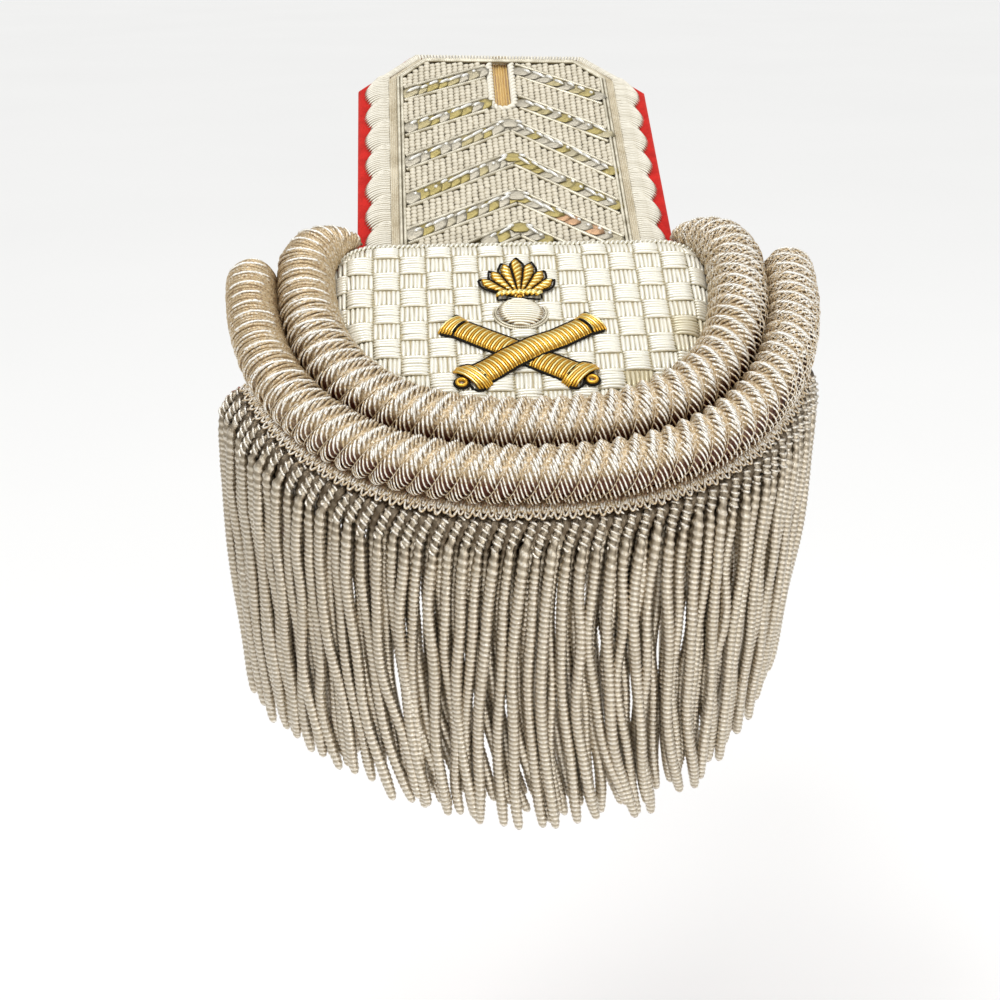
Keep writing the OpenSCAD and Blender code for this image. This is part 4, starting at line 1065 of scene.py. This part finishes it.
def fringe_nodes(node, place, uv):
    """Plated copper coil: bright crests and olive-brown between turns, painted highlight and shade over its
    tarnish, and paler tips.
    """
    depth = node("Attribute", attribute_name="tint")
    speck = node("TexNoise", {"Vector": place, "Scale": 1000 / SPECK_MM, "Detail": 3.0})
    patch = node("TexNoise", {"Vector": place, "Scale": 1000 / COIL_PATCH_MM, "Detail": 2.0})
    shading_by_speck = node("Math", {0: depth, 1: speck}, operation="MULTIPLY")
    metal = shaded(node, shading_by_speck, 0.15, 0.5, BULLION_MID, BULLION_LIGHT)
    return {"Base Color": shaded(node, depth, 0.0, 0.4, BULLION_DARK, metal),
            "Roughness": node("MapRange", {"Value": patch, "To Min": 0.3, "To Max": 0.5}),
            "Normal": node("Bump", {"Height": speck, "Strength": 0.7, "Distance": 0.0003})}


bullion = finish_named("tarnished and shaded bullion coil", {"Metallic": 1.0}, fringe_nodes)


def hang_strands(shares, inward, length, per_turn, sides):
    """Coiled strands: where they hang along the crescent, how far behind the front row, their
    lengths, the rings in a turn of their coil, and its sides."""
    count, rings = len(shares), int(FRINGE_L / COIL_TURN) * per_turn + 1
    root, out = on_crescent(shares, HEAD_OUT)
    beside = left_of(out)
    angle_cos = np.clip(root[:, 0] / (CRESCENT_A + HEAD_OUT), -1, 1)
    reach = np.where(angle_cos < 0, TUCK_LEFT, TUCK_RIGHT)
    tuck = TUCK_FRONT + (reach - TUCK_FRONT) * np.abs(angle_cos) ** 1.4
    # The coil is drawn out a little where it bends over the rim
    s = np.linspace(0, 1, rings)
    s = np.where(s < 0.1, s * 1.5, 0.15 + (s - 0.1) / 0.9 * 0.85)
    stands = np.interp(s, *STANDS)
    layer = np.where(np.arange(count) % 2 == 0, 0.0, SET_BACK)[:, None]
    outward = (stands * FRINGE_OUT - tuck[:, None] * s ** 1.6 - inward * np.clip(s * 12, 0.3, 1)
               - layer * np.clip(s * 5, 0, 1))
    each = (count, 1)
    waves = sum(rng.uniform(*WAVE_SIZE, each) * np.sin(2 * pi * (s / wave + rng.uniform(0, 1, each)))
                for wave in WAVES) * np.clip(s * 3, 0, 1)
    locks = np.arange(-2, count + LOCK, LOCK)
    lean = np.interp(np.arange(count), locks, rng.normal(0, LOCK_LEAN, len(locks)))
    drift = (lean[:, None] + rng.normal(0, STRAND_LEAN, each)) * s ** 2
    drift += (1 - np.abs(angle_cos) ** 1.5)[:, None] * FRINGE_SWAY * s * (s - 0.75)
    ripple = RIPPLE * np.sin(2 * pi * (s / rng.uniform(*RIPPLE_SHARE, each) + rng.uniform(0, 1, each)))
    line = raised(root[:, None] + out[:, None] * (outward + ripple * np.clip(s * 4, 0, 1))[..., None]
                  + beside[:, None] * (waves + drift)[..., None], HEAD_Z)
    line[..., 0] -= FRINGE_SWING * stands
    line += DOWN * (np.interp(s, *FALLS) * length[:, None] * FRINGE_L)[..., None]

    ring, side = np.arange(rings)[:, None], np.arange(sides + 1)
    place = np.clip(ring + per_turn * side / sides, 0, rings - 1) / (rings - 1)
    crest = (0.5 + 0.5 * np.cos(2 * pi * ring / per_turn)) ** 1.3
    drawn_out = rng.uniform(*DRAWN_OUT, (count, 1, 1))
    hooked = np.interp(place / drawn_out, *HOOKED)
    # Where a strand is hooked on, under the roll, it is painted darker as shade: a little on the front row
    # and much on the rows behind, and only the front row's coil is thinner there
    thinner, darker = (0.0, 0.8) if inward else (0.35, 0.25)
    size = np.interp(place, *TAPER) * (STRAND_R - COIL_RISE * (1 - crest) - thinner * hooked)
    depth = (0.3 + 0.7 * crest) * np.interp(place, *PALER) * (1 - darker * hooked)
    bm = bmesh.new()
    lay_wires(bm, line, size, sides=sides, lead=per_turn, up=raised(out, 0)[:, None], tint=depth)
    if not inward:
        lay_hooks(bm, line[:, :HOOK_RINGS], beside, drawn_out[..., 0])
    return bm


def lay_hooks(bm, line, beside, drawn_out):
    """The drawn-out turns of each strand where it is hooked on: a wire that winds round it."""
    spots = np.linspace(0, line.shape[1] - 1.001, 32) * drawn_out / DRAWN_OUT[1]
    low, strand = spots.astype(int), np.arange(len(line))[:, None]
    line = line[strand, low] + (line[strand, low + 1] - line[strand, low]) * (spots - low)[..., None]
    way = np.gradient(line, axis=1)
    walked = np.cumsum(np.linalg.norm(way, axis=-1), axis=1)
    across = np.broadcast_to(raised(beside, 0)[:, None], line.shape)
    front = unit(np.cross(across, way))
    turn = (2 * pi * walked / HOOK_TURN + rng.uniform(0, 2 * pi, (len(line), 1)))[..., None]
    tight = np.linspace(1, 0.92, line.shape[1])[:, None] ** 3
    for ply in (0, pi):
        round_it = np.cos(turn + ply) * across + np.sin(turn + ply) * front
        lay_wires(bm, line + (STRAND_R - HOOK_WIRE * 0.7) * tight * round_it, HOOK_WIRE, sides=5,
                  tint=lit_side(5, 0.5))


for suffix, inward, shift, length, per_turn, sides in ROWS:
    shares = FRINGE_SPAN[0] + np.ptp(FRINGE_SPAN) * (np.arange(STRANDS) + 0.5 + shift / 2) / STRANDS
    shares += rng.normal(0, 0.06, STRANDS) * np.ptp(FRINGE_SPAN) / STRANDS
    for third, name in enumerate(("left", "front", "right")):
        hung = shares[third * STRANDS // 3:(third + 1) * STRANDS // 3]
        lengths = np.interp(np.linspace(third / 3, (third + 1) / 3, len(hung)), *LONGER)
        lengths = lengths * (length + rng.normal(0, 0.02, len(hung)))
        strands = hang_strands(hung, inward, lengths, per_turn, sides)
        strands = on_board(f"fringe_{name}{suffix}", strands, bullion)
        if strands.name == "fringe_front":
            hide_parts("bullion_fringe")

# Fixing tongue. A plain strip of rolled brass under the strap, sewn down by its foot, that
# slides under a loop on the coat. Its edges are filed round.
FILED_EDGE = 0.3
BRASS_LIGHT, BRASS_DARK, HAZE_MM = "#C6A563", "#9A7A3C", 9.0


def brass_nodes(node, place, uv):
    """Rolled brass: fine lines along the strip, and a brown haze of age."""
    lines = node("Mapping", {"Vector": place, "Scale": (6000.0, 120.0, 120.0)})
    rolled = node("TexNoise", {"Vector": lines, "Scale": 1.0, "Detail": 3.0})
    haze = node("TexNoise", {"Vector": place, "Scale": 1000 / HAZE_MM, "Detail": 4.0})
    return {"Base Color": node("Mix", {0: haze, 6: BRASS_DARK, 7: BRASS_LIGHT}, data_type="RGBA"),
            "Roughness": node("MapRange", {"Value": haze, "To Min": 0.25, "To Max": 0.5}),
            "Normal": node("Bump", {"Height": rolled, "Strength": 0.15, "Distance": 0.0001})}


brass = finish_named("rolled brass", {"Metallic": 1.0}, brass_nodes)
tongue = solid_of("fixing_tongue")
round_edges(tongue, 40, FILED_EDGE, 3)
tongue = on_board("brass_tongue", tongue, brass, tilted=False)
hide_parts("fixing_tongue")

# Studio. A pale paper floor far below the worn board, soft boxes from the front left, above
# and the front right, an even light from the ceiling, and a camera at the photograph's angle.
FLOOR_Z, FLOOR_HALF, PAPER_MM = -0.26, 12.0, 1000 / 3
LENS, SENSOR = 59.76, 36.0
LOOK_DOWN, LOOK_ASIDE, ROLL = radians(20), radians(3), radians(0.6)
CAMERA_AT = (-0.0220, -0.34266, 0.07288)
LIT_SPOT = Vector((0, -0.02, -0.02))
# Soft boxes: place, size in metres, and watts
SOFT_BOXES = {"key": ((-0.3, -0.42, 0.75), 0.2, 1.7), "top": ((0.1, 0.3, 0.8), 0.3, 0.7),
              "fill": ((0.3, -0.68, 0.0), 0.3, 1.2)}


def put(name, data):
    """An object of this data in the scene."""
    thing = bpy.data.objects.new(name, data)
    bpy.context.scene.collection.objects.link(thing)
    return thing


# Uncoated paper: matt, with no sheen to show the lights
paper = finish_named("white backdrop paper", {"Roughness": 0.9, "Specular IOR Level": 0.1},
                     speckled(PAPER_MM, "#FBFBFA", "#FFFFFE"))
ground = bmesh.new()
bmesh.ops.create_grid(ground, x_segments=2, y_segments=2, size=FLOOR_HALF)
bmesh.ops.translate(ground, vec=(0, 0, FLOOR_Z), verts=ground.verts)
mesh = bpy.data.meshes.new("paper_floor")
ground.to_mesh(mesh)
ground.free()
mesh.materials.append(paper)
floor = put("paper_floor", mesh)

world = bpy.data.worlds.new("studio")
bpy.context.scene.world = world
world.use_nodes = True
world.node_tree.nodes["Background"].inputs["Color"].default_value = srgb("#FFFFFF")
world.node_tree.nodes["Background"].inputs["Strength"].default_value = 0.6
for name, (place, size, watts) in SOFT_BOXES.items():
    data = bpy.data.lights.new(name, "AREA")
    data.size, data.energy = size, watts
    lamp = put(name, data)
    lamp.location = place
    lamp.rotation_euler = (LIT_SPOT - Vector(place)).to_track_quat("-Z", "Y").to_euler()
data = bpy.data.lights.new("ceiling", "SUN")
data.energy, data.angle = 1.0, radians(40)
put("ceiling", data).rotation_euler = (radians(14), radians(-8), 0)

forward = Vector((sin(LOOK_ASIDE) * cos(LOOK_DOWN), cos(LOOK_ASIDE) * cos(LOOK_DOWN), -sin(LOOK_DOWN)))
right = Vector((cos(LOOK_ASIDE), -sin(LOOK_ASIDE), 0))
upward = right.cross(forward)
right, upward = right * cos(ROLL) - upward * sin(ROLL), upward * cos(ROLL) + right * sin(ROLL)
lens = bpy.data.cameras.new("photograph")
lens.lens, lens.sensor_width, lens.clip_start, lens.clip_end = LENS, SENSOR, 0.01, 50
camera = put("photograph", lens)
camera.matrix_world = Matrix.Translation(CAMERA_AT) @ Matrix((right, upward, -forward)).transposed().to_4x4()
bpy.context.scene.camera = camera
bpy.context.scene.view_settings.view_transform = "Standard"
